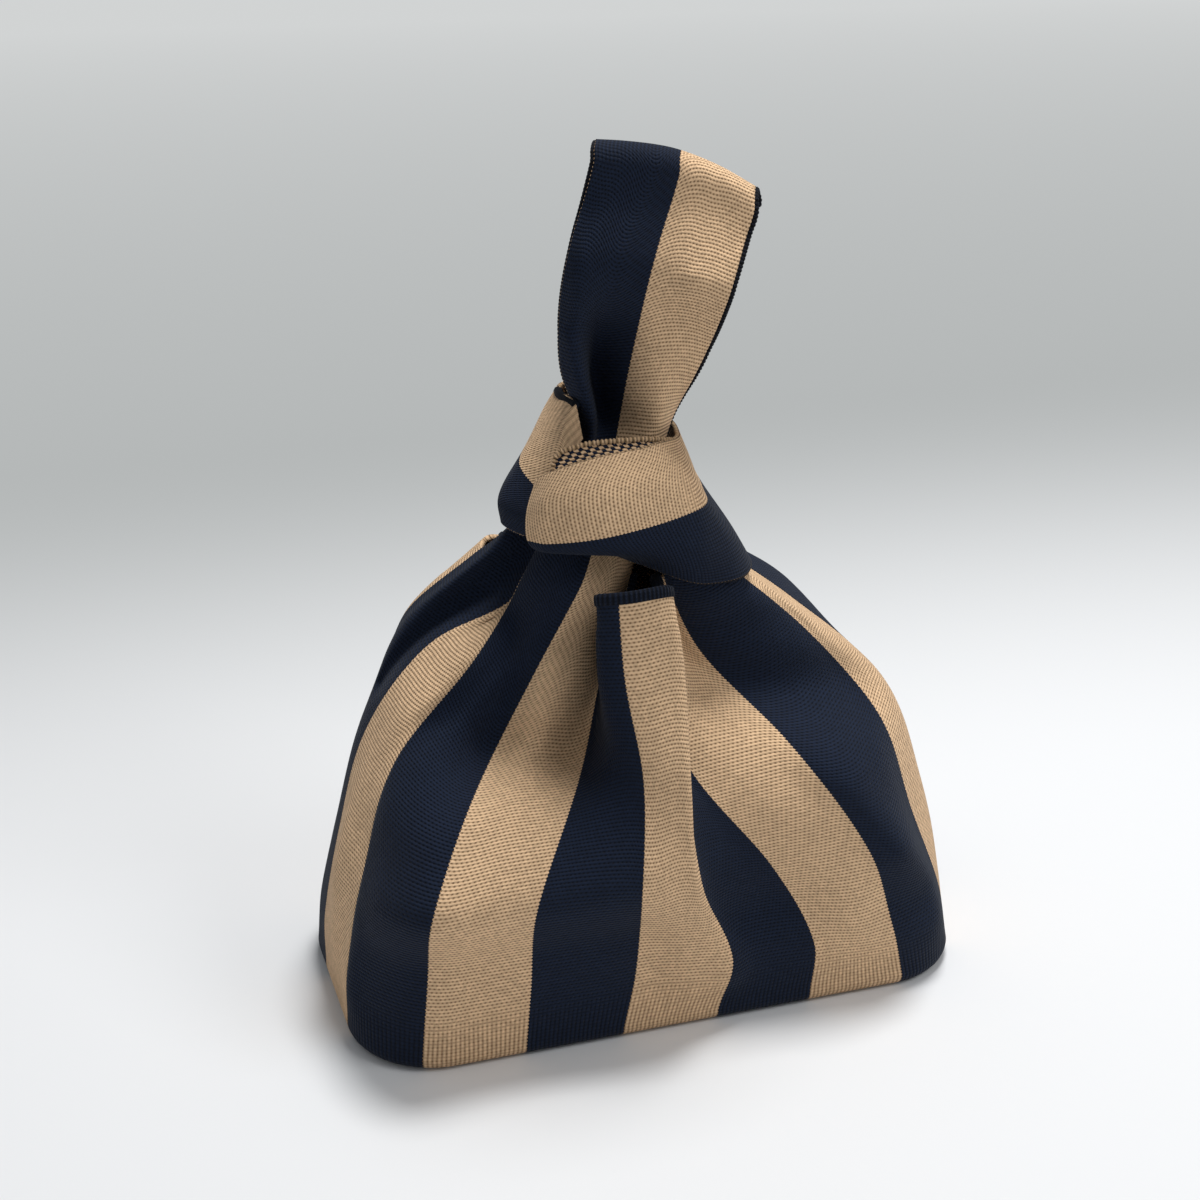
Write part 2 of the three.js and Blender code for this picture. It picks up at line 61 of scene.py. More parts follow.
# %% Camera
LOOK_AT = Vector((-0.008, 0.005, 0.105))
AZIMUTH = math.radians(-18)
ELEVATION = math.radians(22)
DISTANCE = 0.52
FOCAL_LENGTH, SENSOR_WIDTH = 58.5, 36

back = Vector((
    math.sin(AZIMUTH) * math.cos(ELEVATION),
    -math.cos(AZIMUTH) * math.cos(ELEVATION),
    math.sin(ELEVATION),
))
bpy.ops.object.camera_add(location=LOOK_AT + DISTANCE * back)
camera = bpy.context.object
camera.rotation_euler = back.to_track_quat("Z", "Y").to_euler()
camera.data.lens = FOCAL_LENGTH
camera.data.sensor_width = SENSOR_WIDTH
camera.data.clip_start = 0.01
bpy.context.scene.camera = camera
print("camera stands", round(camera.location.length, 3), "m from the bag's base")

# %% [markdown]
# ## Shader maths as plain expressions
# A knit pattern is arithmetic on two numbers: which wale, or column of stitches, a point is in, and
# which course, or row. Math nodes do that, one node for each sign. The small class below wraps a
# socket, so that an ordinary Python expression adds those nodes.

# %% A socket that does arithmetic
class Wire:
    def __init__(self, finish, socket):
        self.finish = finish
        self.socket = socket

    def _math(self, operation, *values):
        return self.finish.add("ShaderNodeMath", {"operation": operation}, values)

    def __add__(self, other):
        return self._math("ADD", self, other)

    def __sub__(self, other):
        return self._math("SUBTRACT", self, other)

    def __rsub__(self, other):
        return self._math("SUBTRACT", other, self)

    def __mul__(self, other):
        return self._math("MULTIPLY", self, other)

    def __truediv__(self, other):
        return self._math("DIVIDE", self, other)

    def __gt__(self, other):
        return self._math("GREATER_THAN", self, other)

    def __pow__(self, other):
        return self._math("POWER", self, other)

    __radd__ = __add__
    __rmul__ = __mul__

    def fract(self):
        return self._math("FRACT", self)

    def floor(self):
        return self._math("FLOOR", self)

    def cosine(self):
        return self._math("COSINE", self * (2 * math.pi))

    def wave(self):
        """1 at every whole number, and 0 half way between two."""
        return self.cosine() * 0.5 + 0.5


class Finish:
    """One material while it is built."""

    def __init__(self, name):
        self.material = bpy.data.materials.new(name)
        self.material.use_nodes = True
        self.tree = self.material.node_tree
        self.shader = self.tree.nodes["Principled BSDF"]

    def add(self, kind, settings, inputs, output=0):
        node = self.tree.nodes.new(kind)
        for key, value in settings.items():
            setattr(node, key, value)
        pairs = inputs.items() if isinstance(inputs, dict) else enumerate(inputs)
        for key, value in pairs:
            self.plug(node.inputs[key], value)
        return Wire(self, node.outputs[output])

    def plug(self, socket, value):
        if isinstance(value, Wire):
            self.tree.links.new(value.socket, socket)
        else:
            socket.default_value = value

    def mix(self, factor, first, second, blend="MIX"):
        settings = {"data_type": "RGBA", "blend_type": blend}
        return self.add("ShaderNodeMix", settings, {0: factor, 6: first, 7: second}, 2)

    def surface(self, **values):
        for name, value in values.items():
            self.plug(self.shader.inputs[name.replace("_", " ")], value)


def srgb(red, green, blue):
    """A colour as a paint chart gives it, turned into the linear values that a shader takes."""
    def linear(value):
        return ((value / 255 + 0.055) / 1.055) ** 2.4 if value > 10 else value / 255 / 12.92

    return (linear(red), linear(green), linear(blue), 1)


print("middle grey is", round(srgb(128, 128, 128)[0], 3), "to a shader")

# %% [markdown]
# ## The double knit
# The cloth is a double knit in two yarns. Its face is one yarn to a stripe: rows of small round
# stitches with a pinhole between neighbours, and each row's pinholes sit half a stitch over from
# the last row's. Pinholes, the lines between rows and the grooves between ribs get a darker copy of
# the yarn colour, which is painted shade. The other yarn runs behind, so the reverse side shows both
# in a check. The UV map of every piece of cloth counts real stitches: U is the number of wales, which
# are columns of stitches, and V is the number of courses, which are rows. Near the base, and where
# the straps fold, the cloth is stretched over an edge and its wales stand apart as ribs.

# %% Yarn colours and gauge, in wales to a stripe and in millimetres
WALES = 23
WALE, COURSE = 1.2, 1.02
NAVY = srgb(22, 32, 51)
# The two darker colours below are painted shade, for pinholes, row lines and the grooves between ribs.
NAVY_IN_SHADE = srgb(4, 7, 16)
TAN = srgb(222, 188, 150)
TAN_IN_SHADE = srgb(120, 90, 62)
print("a stripe is", WALES, "wales wide, and a course is", COURSE, "mm high")

# %% How deep the cloth lies, and how its stitches vary
ROW_SHARPNESS, HOLE_SHARPNESS, RIB_SHARPNESS = 1.5, 1.6, 1.4
HOLE_DEPTH, RIB_DEPTH, ROW_DEPTH = 0.66, 0.75, 0.2
STITCH_SPREAD, PATCH_SPREAD, DARKEST = 0.2, 0.1, 0.85
PATCH_SCALE = 0.06


def counts(finish):
    """The wale and course counts at a point of the cloth."""
    where = finish.add("ShaderNodeUVMap", {"uv_map": "stitches"}, {})
    wale = finish.add("ShaderNodeSeparateXYZ", {}, [where])
    return wale, Wire(finish, wale.socket.node.outputs[1])


def pinholes(finish, wale, course):
    """How deep the cloth lies: 1 in a pinhole, less between two rows, and 0 on a stitch."""
    row_line = (course + 0.5).floor()
    closeness = (course - row_line).wave() ** ROW_SHARPNESS
    hole = (wale - row_line * 0.5).wave() ** HOLE_SHARPNESS
    flat = closeness * (hole * HOLE_DEPTH + (1 - HOLE_DEPTH))
    stretched = wale.wave() ** RIB_SHARPNESS * RIB_DEPTH + closeness * ROW_DEPTH
    ribs = finish.add("ShaderNodeAttribute", {"attribute_name": "ribs"}, {}, "Fac")
    return flat * (1 - ribs) + stretched * ribs


def yarn_variation(finish, wale, course):
    """Every stitch takes the light a little differently, and so does every patch of a few rows."""
    cell = finish.add("ShaderNodeCombineXYZ", {}, [wale.floor(), course.floor(), 0.0])
    single = finish.add("ShaderNodeTexWhiteNoise", {"noise_dimensions": "2D"}, {"Vector": cell})
    patch = [wale * PATCH_SCALE, course * PATCH_SCALE, 0.0]
    values = {"Vector": finish.add("ShaderNodeCombineXYZ", {}, patch), "Scale": 1.0, "Detail": 2.0}
    broad = finish.add("ShaderNodeTexNoise", {"noise_dimensions": "2D"}, values)
    return single * STITCH_SPREAD + broad * PATCH_SPREAD + DARKEST


def shaded(finish, colour, shade):
    grey = finish.add("ShaderNodeCombineColor", {}, [shade, shade, shade])
    return finish.mix(1.0, colour, grey, "MULTIPLY")


def yarn_surface(finish, colour, height, strength=0.9, distance=0.0004, roughness=0.9):
    """Matt yarn with a faint bloom. The height of the stitches shows as a bump."""
    values = {"Strength": strength, "Distance": distance, "Height": height}
    bump = finish.add("ShaderNodeBump", {}, values)
    finish.surface(Base_Color=colour, Roughness=roughness, Normal=bump)
    finish.surface(Sheen_Weight=0.04, Sheen_Roughness=0.4, Specular_IOR_Level=0.18)
    return finish.material


def knit(name, tan_mask, relief=0.0003):
    """A finish whose yarn choice is a function of the wale and course counts."""
    finish = Finish(name)
    wale, course = counts(finish)
    depth = pinholes(finish, wale, course)
    mask = tan_mask(wale, course)
    light = finish.mix(mask, NAVY, TAN)
    # Painted shade: where the cloth lies deep, in pinholes and between rows, the colour goes to the
    # darker copy.
    shaded_colour = finish.mix(mask, NAVY_IN_SHADE, TAN_IN_SHADE)
    colour = shaded(finish, finish.mix(depth, light, shaded_colour), yarn_variation(finish, wale, course))
    return yarn_surface(finish, colour, 1 - depth, distance=relief)


# %% Which yarn shows where
def striped(wale, course):
    """A new stripe every so many wales. The edge sways by a quarter of a stitch from row to row."""
    sway = course.cosine() * 0.12
    return ((wale + sway) / (2 * WALES)).fract() > 0.5


def checked(wale, course):
    return ((wale.floor() + course.floor()) / 2).fract() > 0.25


def all_navy(wale, course):
    return wale * 0


face_knit = knit("striped_double_knit", striped)
reverse_knit = knit("checked_reverse_side", checked, 0.0005)
navy_knit = knit("plain_navy_knit", all_navy)
print("finishes so far:", face_knit.name, reverse_knit.name, navy_knit.name)

# %% A ribbed finish for hems, and a yarn for selvage beads
def ribbed(name, light, shaded_colour):
    """Ribs run across the edge, one to a wale, and each is a chain of loops."""
    finish = Finish(name)
    wale, course = counts(finish)
    rib = wale.wave() ** 0.7
    chain = (course + (wale * 2).cosine() * 0.15).wave()
    height = (1 - rib) * (chain * 0.35 + 0.65)
    # Painted shade: the grooves between ribs and between loops get the darker colour.
    colour = shaded(finish, finish.mix(height, shaded_colour, light), yarn_variation(finish, wale, course))
    return yarn_surface(finish, colour, height)


def beaded(name, first, second):
    """Selvage beads: two yarns take turns, and fine plies wind round each bead."""
    finish = Finish(name)
    wale, course = counts(finish)
    turn = (course / 2).fract() > 0.5
    ply = (wale * 6 + course * 4).wave()
    bead = course.wave() ** 0.6
    shade = (ply * 0.3 + 0.7) * (bead * 0.7 + 0.3)
    colour = shaded(finish, finish.mix(turn, first, second), shade)
    return yarn_surface(finish, colour, ply, strength=0.6, distance=0.0001, roughness=0.88)


navy_rib = ribbed("navy_hem_rib", NAVY, NAVY_IN_SHADE)
navy_beads = beaded("navy_selvage_beads", srgb(13, 14, 22), srgb(22, 24, 36))
mixed_beads = beaded("two_yarn_selvage_beads", TAN, NAVY)
tan_beads = beaded("tan_selvage_beads", TAN, srgb(190, 158, 120))
print("edge finishes:", navy_rib.name, navy_beads.name, mixed_beads.name, tan_beads.name)

# %% [markdown]
# ## Smooth curves through given points
# The bag's shape is drawn with fold lines. Each is a handful of points up the bag, and a smooth curve
# runs through them, then another across them. Both are the same kind of curve: it passes through every
# point, and its slope there follows the neighbours.

# %% Curves
LEAST_STEP = 0.01


def through(stations, points, at):
    """Points of a smooth curve at the places `at`. Extra dimensions of the points ride along."""
    stations, at = np.asarray(stations, float), np.asarray(at, float)
    k = np.clip(np.searchsorted(stations, at, side="left") - 1, 0, len(stations) - 2)
    slope = np.empty_like(points)
    tail = (slice(None),) + (None,) * (points.ndim - 1)
    slope[1:-1] = (points[2:] - points[:-2]) / (stations[2:] - stations[:-2])[tail]
    slope[0] = (points[1] - points[0]) / (stations[1] - stations[0])
    slope[-1] = (points[-1] - points[-2]) / (stations[-1] - stations[-2])
    span = (stations[k + 1] - stations[k])[tail]
    t = (at - stations[k])[tail] / span
    start = points[k] * (2 * t**3 - 3 * t**2 + 1) + slope[k] * span * (t**3 - 2 * t**2 + t)
    return start + points[k + 1] * (3 * t**2 - 2 * t**3) + slope[k + 1] * span * (t**3 - t**2)


def across_row(places, points, values, at, turn=None):
    """A curve across one row, spaced as the row really is. A closed row has a turn."""
    places, at = np.asarray(places, float), np.asarray(at, float)
    if turn:
        at = places[0] + np.mod(at - places[0], turn)
        places = np.concatenate([places[-2:] - turn, places, places[:2] + turn])
        points = np.concatenate([points[-2:], points, points[:2]])
        values = np.concatenate([values[-2:], values, values[:2]])
    steps = np.sqrt(np.linalg.norm(np.diff(points, axis=0), axis=1) + LEAST_STEP)
    knots = np.concatenate([[0], np.cumsum(steps)])
    return through(knots, values, np.interp(at, places, knots))


def softened(curve, at, reach):
    """A curve with its kinks rounded, from its values a little to either side."""
    return (curve(at - reach) + 2 * curve(at) + curve(at + reach)) / 4


def rising(value, low, high):
    """From 0 to 1 between two values, with no kink at either."""
    share = np.clip((np.asarray(value, float) - low) / (high - low), 0, 1)
    return share * share * (3 - 2 * share)


def pressed(across, along, creases):
    """How far soft ridges and hollows lift the cloth. Each one runs between two places on it."""
    lift = np.zeros(np.broadcast(across, along).shape)
    for across_0, along_0, across_1, along_1, width, height in creases:
        run = np.array([across_1 - across_0, along_1 - along_0], float)
        share = ((across - across_0) * run[0] + (along - along_0) * run[1]) / (run @ run)
        share = np.clip(share, 0, 1)
        gap = np.hypot(across - across_0 - share * run[0], along - along_0 - share * run[1])
        lift = lift + height * np.exp(-((gap / width) ** 2))
    return lift


def unit(vectors):
    """The same directions, each one long."""
    return vectors / np.linalg.norm(vectors, axis=-1, keepdims=True)


print("a third of the way up a rise is", round(float(rising(1 / 3, 0, 1)), 3))

# %% [markdown]
# ## The bag's body
# The outline on the ground is a rounded rectangle. Places round it count stripes. Higher up, the
# cloth gathers into deep folds towards the knot, and 31 fold lines say where it goes at five heights.
# The lowest two heights give the soft belly, which stands on the ground like a filled pillow. A cloth
# simulation would find folds of its own, so the folds of this bag are listed.

# %% Body dimensions, in millimetres
BASE_WIDTH, BASE_DEPTH, BASE_CORNER = 172, 88, 24
ROUND_UNDER, HEM = 4, 120
STRIPES = 16
FABRIC = 1.5
FRONT_MIDDLE, MIDDLE_OFFSET, FRONT_DRAWN_IN = 5.5, -4, 0.12
FOLD_SOFTNESS = 0.14
print("the base is", BASE_WIDTH, "by", BASE_DEPTH, "mm and the neckline is", HEM, "mm up")

# %% Fold lines: a place in stripes, then x and y at each height
LEVELS = [ROUND_UNDER, 20, 45, 75, 100, HEM]
FOLDS = np.array([
    [0.15, -79, 35, -72, 34, -63.5, 31, -57.5, 21, -38, 10.5],
    [0.5, -83.5, 25.5, -77, 25, -69, 22, -58.5, 16, -38, 8],
    [0.8, -85, 16, -80, 16, -72, 14, -57, 9, -31, 6],
    [1, -85.5, 10.5, -80, 10, -72, 8, -53, 5.5, -25, 4],
    [1.5, -86, -4, -83, -3, -71, -3, -50, -2.5, -25.5, 0.5],
    [2, -84.5, -18, -79, -17, -69, -13, -46, -10, -31.5, -4.5],
    [2.5, -81.5, -32, -77, -31, -63, -26, -44, -22, -29, -14],
    [3, -69.5, -42.5, -66.5, -42.5, -53, -34, -37, -28, -21, -20],
    [3.5, -57, -44, -54, -46, -40, -36, -26, -29, -12, -19],
    [4, -42.5, -44, -41, -46, -26, -35, -17, -26, -4.5, -12.5],
    [4.4, -31.5, -44, -31, -46.5, -20, -37, -19, -29, -11, -20],
    [4.75, -21.5, -44, -20, -47.5, -15.5, -41, -20.5, -33, -22, -29.5],
    [5, -14, -44, -14, -48, -12.5, -44, -15, -37, -15.5, -33.5],
    [5.5, -1, -45.5, -4.5, -50, -5, -48, -2.5, -38.5, -3, -34.5],
    [5.75, 6, -45.5, 0, -50, -0.5, -47, 1.5, -36, -1, -32],
    [6, 12.5, -45, 2, -48.5, -1, -43.5, 0, -32.5, -2, -29],
    [6.4, 21, -44, 10, -45.5, -1.5, -39.5, -5, -29.5, -7, -25.5],
    [6.7, 29, -44, 17.5, -44, 0, -36, -3.5, -27, -4, -22.5],
    [7, 36, -44.5, 23, -44.5, 1.5, -33.5, 1, -25, 0, -21],
    [8, 59, -45, 50.8, -44, 31, -34, 9.5, -26, 1, -19],
    [8.5, 73.5, -41, 63.5, -40, 47, -32, 28, -27, 13, -18],
    [9, 81.5, -27, 71.5, -27, 62, -22, 42, -20, 19, -12],
    [9.5, 88.5, -12, 83, -11, 72, -7, 45, -9, 20.3, -6.5],
    [10, 89.5, 2, 85.5, 3, 73, 6, 46.3, 3, 21, 0.5],
    [10.5, 89, 17.5, 85, 18, 70, 20, 51.5, 18, 23, 9.5],
    [11, 84.5, 33, 80, 33, 60, 32, 44, 27, 20, 16],
    [12, 54, 46, 51, 46, 36, 38, 26, 31, 12, 21],
    [13, 20.5, 46, 19, 45, 14, 37, 8, 27, 4, 19],
    [14, -12.5, 46, -12, 45, -8, 37, -8, 27, -8, 19],
    [15, -46, 46, -44, 46, -36, 39, -33, 30, -25, 22],
    [15.85, -72.5, 41.5, -67, 40, -57, 37, -56, 26, -37, 17.5],
], float)
print(len(FOLDS), "fold lines at", len(LEVELS) - 1, "heights")

# %% [markdown]
# ## Creases, dips and the tuck
# Between its folds the knit has soft hollows and swells. They could be sculpted point by point, but a
# list is easier to change. Each crease runs between two places, in millimetres round the bag and up
# it, with a width and a height, and creases add up where they cross. They move the cloth along OUT,
# the line towards the camera, so that its stripes stay where they are drawn. The neckline dips on
# both sides of the front pleat and rises on it. A tuck draws the first tan stripe together near the
# neckline. Where two folds close on themselves, the cloth is squeezed thin.

# %% Creases, neckline dips and the tuck
STRIPE_MM = 27
OUT = np.array([-0.29, -0.88, 0.37])
BODY_CREASES = [
    (66, 110, 112, 111, 8, -7), (214, 110, 242, 104, 8, -5), (112, 108, 102, 80, 11, -9),
    (58, 44, 80, 46, 10, 4), (80, 47, 134, 49, 13, 5), (60, 64, 74, 62, 9, 3.5),
    (64, 89, 80, 83, 10, -9), (68, 102, 74, 98, 8, -6),
    (80, 83, 108, 83, 10, -9), (80, 97, 110, 98, 11, -8),
    (46, 110, 50, 90, 5, 1.5), (84, 33, 132, 34, 7, -2),
    (54, 2, 55, 34, 6, 2.5), (66, 6, 68, 30, 9, -2.5),
    (152, 110, 155, 58, 4, 1.6), (158, 48, 162, 14, 6, 2.6), (140, 30, 142, 8, 7, -2),
    (168, 34, 188, 36, 10, -4), (170, 70, 184, 66, 9, 2), (194, 78, 206, 60, 12, 3),
    (206, 98, 238, 87, 14, -14), (220, 70, 234, 66, 9, 4), (222, 60, 226, 44, 8, 4),
    (218, 30, 226, 26, 8, -3.5), (206, 24, 212, 30, 9, 2),
    (28, 88, 44, 84, 8, 2.5), (30, 46, 44, 44, 12, 2.5), (22.5, 118, 20.5, 86, 3.5, -5),
    (12, 116, 11, 92, 5, 1.5),
]
NECKLINE_DIPS = [
    (4.35, 0.25, 6), (5.2, 0.6, -2.3), (5.6, 0.35, -1.5), (6.7, 0.6, 6), (15.6, 0.3, -2),
]
CREASES_FADE, DIPS_FROM = 16, 85
TUCK_HEIGHT, TUCK_REACH = 110, 7
TUCK = {1: (6.8, -7), 1.5: (5.5, 1), 2: (3.2, 5)}
CLOSED_FOLDS = [(-33, -1.5, 111), (44, -5, 99)]
print(len(BODY_CREASES), "creases on the body")

# %% The outline on the ground
def base_outline(stripe, inset):
    """Points and outward directions of the rounded rectangle, at places counted in stripes."""
    radius = BASE_CORNER - inset
    flat = np.array([BASE_WIDTH, BASE_DEPTH]) / 2 - BASE_CORNER
    arc = math.pi / 2 * BASE_CORNER
    around = 4 * flat.sum() + 4 * arc
    turn = (np.asarray(stripe, float) - FRONT_MIDDLE) / STRIPES
    share = turn - FRONT_DRAWN_IN / (2 * math.pi) * np.sin(2 * math.pi * turn)
    along = np.mod(arc + flat[0] + MIDDLE_OFFSET + share * around, around)
    centres = flat * np.array([[-1, -1], [1, -1], [1, 1], [-1, 1]])
    runs = 2 * flat[[0, 1, 0, 1]]
    starts = np.concatenate([[0], np.cumsum(arc + runs)])
    corner = np.clip(np.searchsorted(starts, along, side="left") - 1, 0, 3)
    along = along - starts[corner]
    angle = math.pi + corner * math.pi / 2 + np.minimum(along, arc) / BASE_CORNER
    run = np.maximum(0, along - arc) / runs[corner]
    outward = np.stack([np.cos(angle), np.sin(angle)], 1)
    centre = centres[corner] + (centres[(corner + 1) % 4] - centres[corner]) * run[:, None]
    return centre + outward * radius


def lower_edge(stripe, height):
    """The outline as the cloth rounds under it, up to where the sides begin."""
    drop = min(max(0, ROUND_UNDER - height), ROUND_UNDER)
    inset = ROUND_UNDER - math.sqrt(ROUND_UNDER**2 - drop**2)
    place = base_outline(stripe, inset)
    return np.column_stack([place, np.full(len(place), max(0.0, height))])


outline = base_outline(np.linspace(0, STRIPES, STRIPES + 1), 0)
print("a front stripe is", round(float(np.linalg.norm(outline[5] - outline[4])), 1), "mm wide")

# %% The body's surface
def body_rows(stripes, heights):
    """The body's surface, one row of points for each height."""
    stripes = np.asarray(stripes, float)
    at_folds = lower_edge(FOLDS[:, 0], ROUND_UNDER)
    drawn = FOLDS[:, 1:].reshape(len(FOLDS), -1, 2).transpose(1, 0, 2)
    shifts = np.zeros((len(LEVELS), len(FOLDS), 3))
    shifts[1:, :, :2] = drawn - at_folds[:, :2]
    tuck = np.array([[*TUCK.get(place, (0, 0)), 0] for place in FOLDS[:, 0]], float)
    rows = []
    for height in heights:
        if height <= ROUND_UNDER:
            rows.append(lower_edge(stripes, height))
            continue
        nearness = math.exp(-(((height - TUCK_HEIGHT) / TUCK_REACH) ** 2))
        shift = through(LEVELS, shifts, [height])[0] + tuck * nearness

        def moved(at):
            return across_row(FOLDS[:, 0], at_folds + shift, shift, at, STRIPES)

        row = lower_edge(stripes, ROUND_UNDER) + softened(moved, stripes, FOLD_SOFTNESS)
        row[:, 2] = height
        for place, width, dip in NECKLINE_DIPS:
            near = np.exp(-(((stripes - place) / width) ** 2))
            row[:, 2] -= dip * near * rising(height, DIPS_FROM, HEM)
        round_it = np.mod(stripes, STRIPES) * STRIPE_MM
        free = rising(height, ROUND_UNDER, CREASES_FADE)
        lift = pressed(round_it, height, BODY_CREASES) * free
        rows.append(row + lift[:, None] * OUT)
    return np.array(rows)


print("the middle of the neckline:", body_rows([FRONT_MIDDLE], [HEM])[0, 0].round(1), "mm")

# %% [markdown]
# ## Cloth from a flat grid
# Every piece of cloth starts as Blender's grid primitive, which is flat cloth with a thread count.
# Its points are then moved to where the cloth lies on the bag, like pinning a pattern piece to a
# dress form. Solidify gives it the thickness of the double knit, with the checked reverse side
# behind. The map named stitches gets the wale and course counts, so that the knit keeps its true
# scale through every fold.

# %% A function that pins a grid
SAME_PLACE = 0.00002


def millimetres(points):
    return np.asarray(points, float) * 0.001


def arc_lengths(surface):
    """How far along its own column each point lies, in millimetres."""
    steps = np.linalg.norm(np.diff(surface, axis=0), axis=2)
    return np.vstack([np.zeros((1, surface.shape[1])), np.cumsum(steps, axis=0)])


def sheet(name, surface, wales, courses, finishes, ribs=None):
    """One layer of cloth through rows of points, in millimetres, ribbed where ribs says so."""
    along, across = surface.shape[0] - 1, surface.shape[1] - 1
    bpy.ops.object.select_all(action="DESELECT")
    bpy.ops.mesh.primitive_grid_add(x_subdivisions=across, y_subdivisions=along, size=2)
    piece = bpy.context.object
    piece.name = piece.data.name = name
    mesh = piece.data
    flat = np.empty(len(mesh.vertices) * 3)
    mesh.vertices.foreach_get("co", flat)
    column = np.rint((flat[0::3] + 1) / 2 * across).astype(int)
    row = np.rint((flat[1::3] + 1) / 2 * along).astype(int)
    mesh.vertices.foreach_set("co", millimetres(surface[row, column]).ravel())
    corners = np.empty(len(mesh.loops), int)
    mesh.loops.foreach_get("vertex_index", corners)
    each = [np.broadcast_to(values, surface.shape[:2])[row, column] for values in (wales, courses)]
    mesh.uv_layers[0].name = "stitches"
    mesh.uv_layers["stitches"].data.foreach_set("uv", np.stack(each, 1)[corners].ravel())
    if ribs is not None:
        values = np.broadcast_to(ribs, surface.shape[:2])[row, column]
        mesh.attributes.new("ribs", "FLOAT", "POINT").data.foreach_set("value", values)
    for finish in finishes:
        mesh.materials.append(finish)
    mesh.update()
    return piece


def select_only(*pieces):
    bpy.ops.object.select_all(action="DESELECT")
    for piece in pieces:
        piece.select_set(True)
    bpy.context.view_layer.objects.active = pieces[0]


def on_all(piece, operator, **settings):
    """Runs one operator on the whole of a piece, in edit mode."""
    select_only(piece)
    bpy.ops.object.mode_set(mode="EDIT")
    bpy.ops.mesh.select_all(action="SELECT")
    operator(**settings)
    bpy.ops.object.mode_set(mode="OBJECT")


def merge_doubles(piece):
    on_all(piece, bpy.ops.mesh.remove_doubles, threshold=SAME_PLACE)


def face_outwards(piece):
    on_all(piece, bpy.ops.mesh.normals_make_consistent, inside=False)


# %% Joining, relaxing and thickening
SQUEEZE_REACH, SQUEEZE = 11, 0.85


def joined(pieces):
    """Pieces of one knitted panel, made one where their edges meet."""
    select_only(*pieces)
    bpy.ops.object.join()
    merge_doubles(pieces[0])
    return pieces[0]


def relaxed(piece, low, high, rounds):
    """Evens out the cloth between two heights, as its own stiffness would."""
    mesh = piece.data
    points = np.empty(len(mesh.vertices) * 3)
    mesh.vertices.foreach_get("co", points)
    inside = (points[2::3] > low * 0.001) & (points[2::3] < high * 0.001)
    select_only(piece)
    for group in (mesh.vertices, mesh.edges, mesh.polygons):
        group.foreach_set("select", np.zeros(len(group), bool))
    mesh.vertices.foreach_set("select", inside)
    bpy.ops.object.mode_set(mode="EDIT")
    bpy.ops.mesh.select_mode(type="VERT")
    bpy.ops.mesh.vertices_smooth(factor=0.5, repeat=rounds)
    bpy.ops.object.mode_set(mode="OBJECT")
    return piece


def thickened(piece, thickness=FABRIC, squeezed_at=()):
    """Gives the cloth its thickness. Where a fold closes on itself, the cloth is squeezed thin."""
    select_only(piece)
    wall = piece.modifiers.new("thickness", "SOLIDIFY")
    if squeezed_at:
        squeezed = piece.vertex_groups.new(name="squeezed")
        wall.vertex_group = squeezed.name
        for vertex in piece.data.vertices:
            away = min((vertex.co * 1000 - Vector(place)).length for place in squeezed_at)
            share = 1 - SQUEEZE * math.exp(-((away / SQUEEZE_REACH) ** 2))
            squeezed.add([vertex.index], share, "REPLACE")
    wall.thickness = thickness * 0.001
    wall.offset = -1
    wall.use_even_offset = False
    wall.material_offset = len(piece.data.materials) - 1
    bpy.ops.object.modifier_apply(modifier="thickness")
    bpy.ops.object.shade_smooth()
    print(piece.name, "has", len(piece.data.polygons), "faces")
    return piece


# %% [markdown]
# ## How the straps run
# A strap is two stripes wide, and knitted in one with the panels. The long strap leaves the body
# beside the left seam, passes through the knot and loops over. The short strap leaves it beside the
# right seam and wraps round the long one. A curve with a flat profile would give a strap of one
# width, but the knot squeezes these, so each is drawn as rows of points across it.

# %% The straps' ends in the knot: a place in stripes, x and y half way up, then at the top
LEG_RISE, SHORT_LEG_RISE = 36, 12
LONG_FRONT_LEG = np.array([
    [2, -21, -1, -14.5, 0.5],
    [2.3, -21, -7, -11, -4.5],
    [2.7, -15, -8, -8.5, 3],
    [3, -11, -8, -4.5, 0],
    [3.5, -4.5, -11, 3, -7.5],
    [4, 2, -8, 9, -1.5],
], float)
LONG_BACK_LEG = np.array([
    [0, -12, 17, 4, 12],
    [0.5, -20, 15, -3, 15],
    [1, -24, 8.5, -9, 14],
    [1.5, -20.5, 6, -13.5, 10],
    [2, -17.5, 2.5, -13.5, 6],
], float)
SHORT_LEG = np.array([
    [8, 5, -17, 6, -15],
    [8.5, 12, -16, 12, -14],
    [9, 18, -11, 17, -10],
    [9.5, 17, -4, 16, -4],
    [10, 18, 3, 17, 3],
    [10.5, 20, 9, 19, 9],
    [11, 17, 15, 16, 14],
    [12, 10, 19, 9, 17],
], float)
print("the long strap's ends rise", LEG_RISE, "mm and the short one's", SHORT_LEG_RISE, "mm")

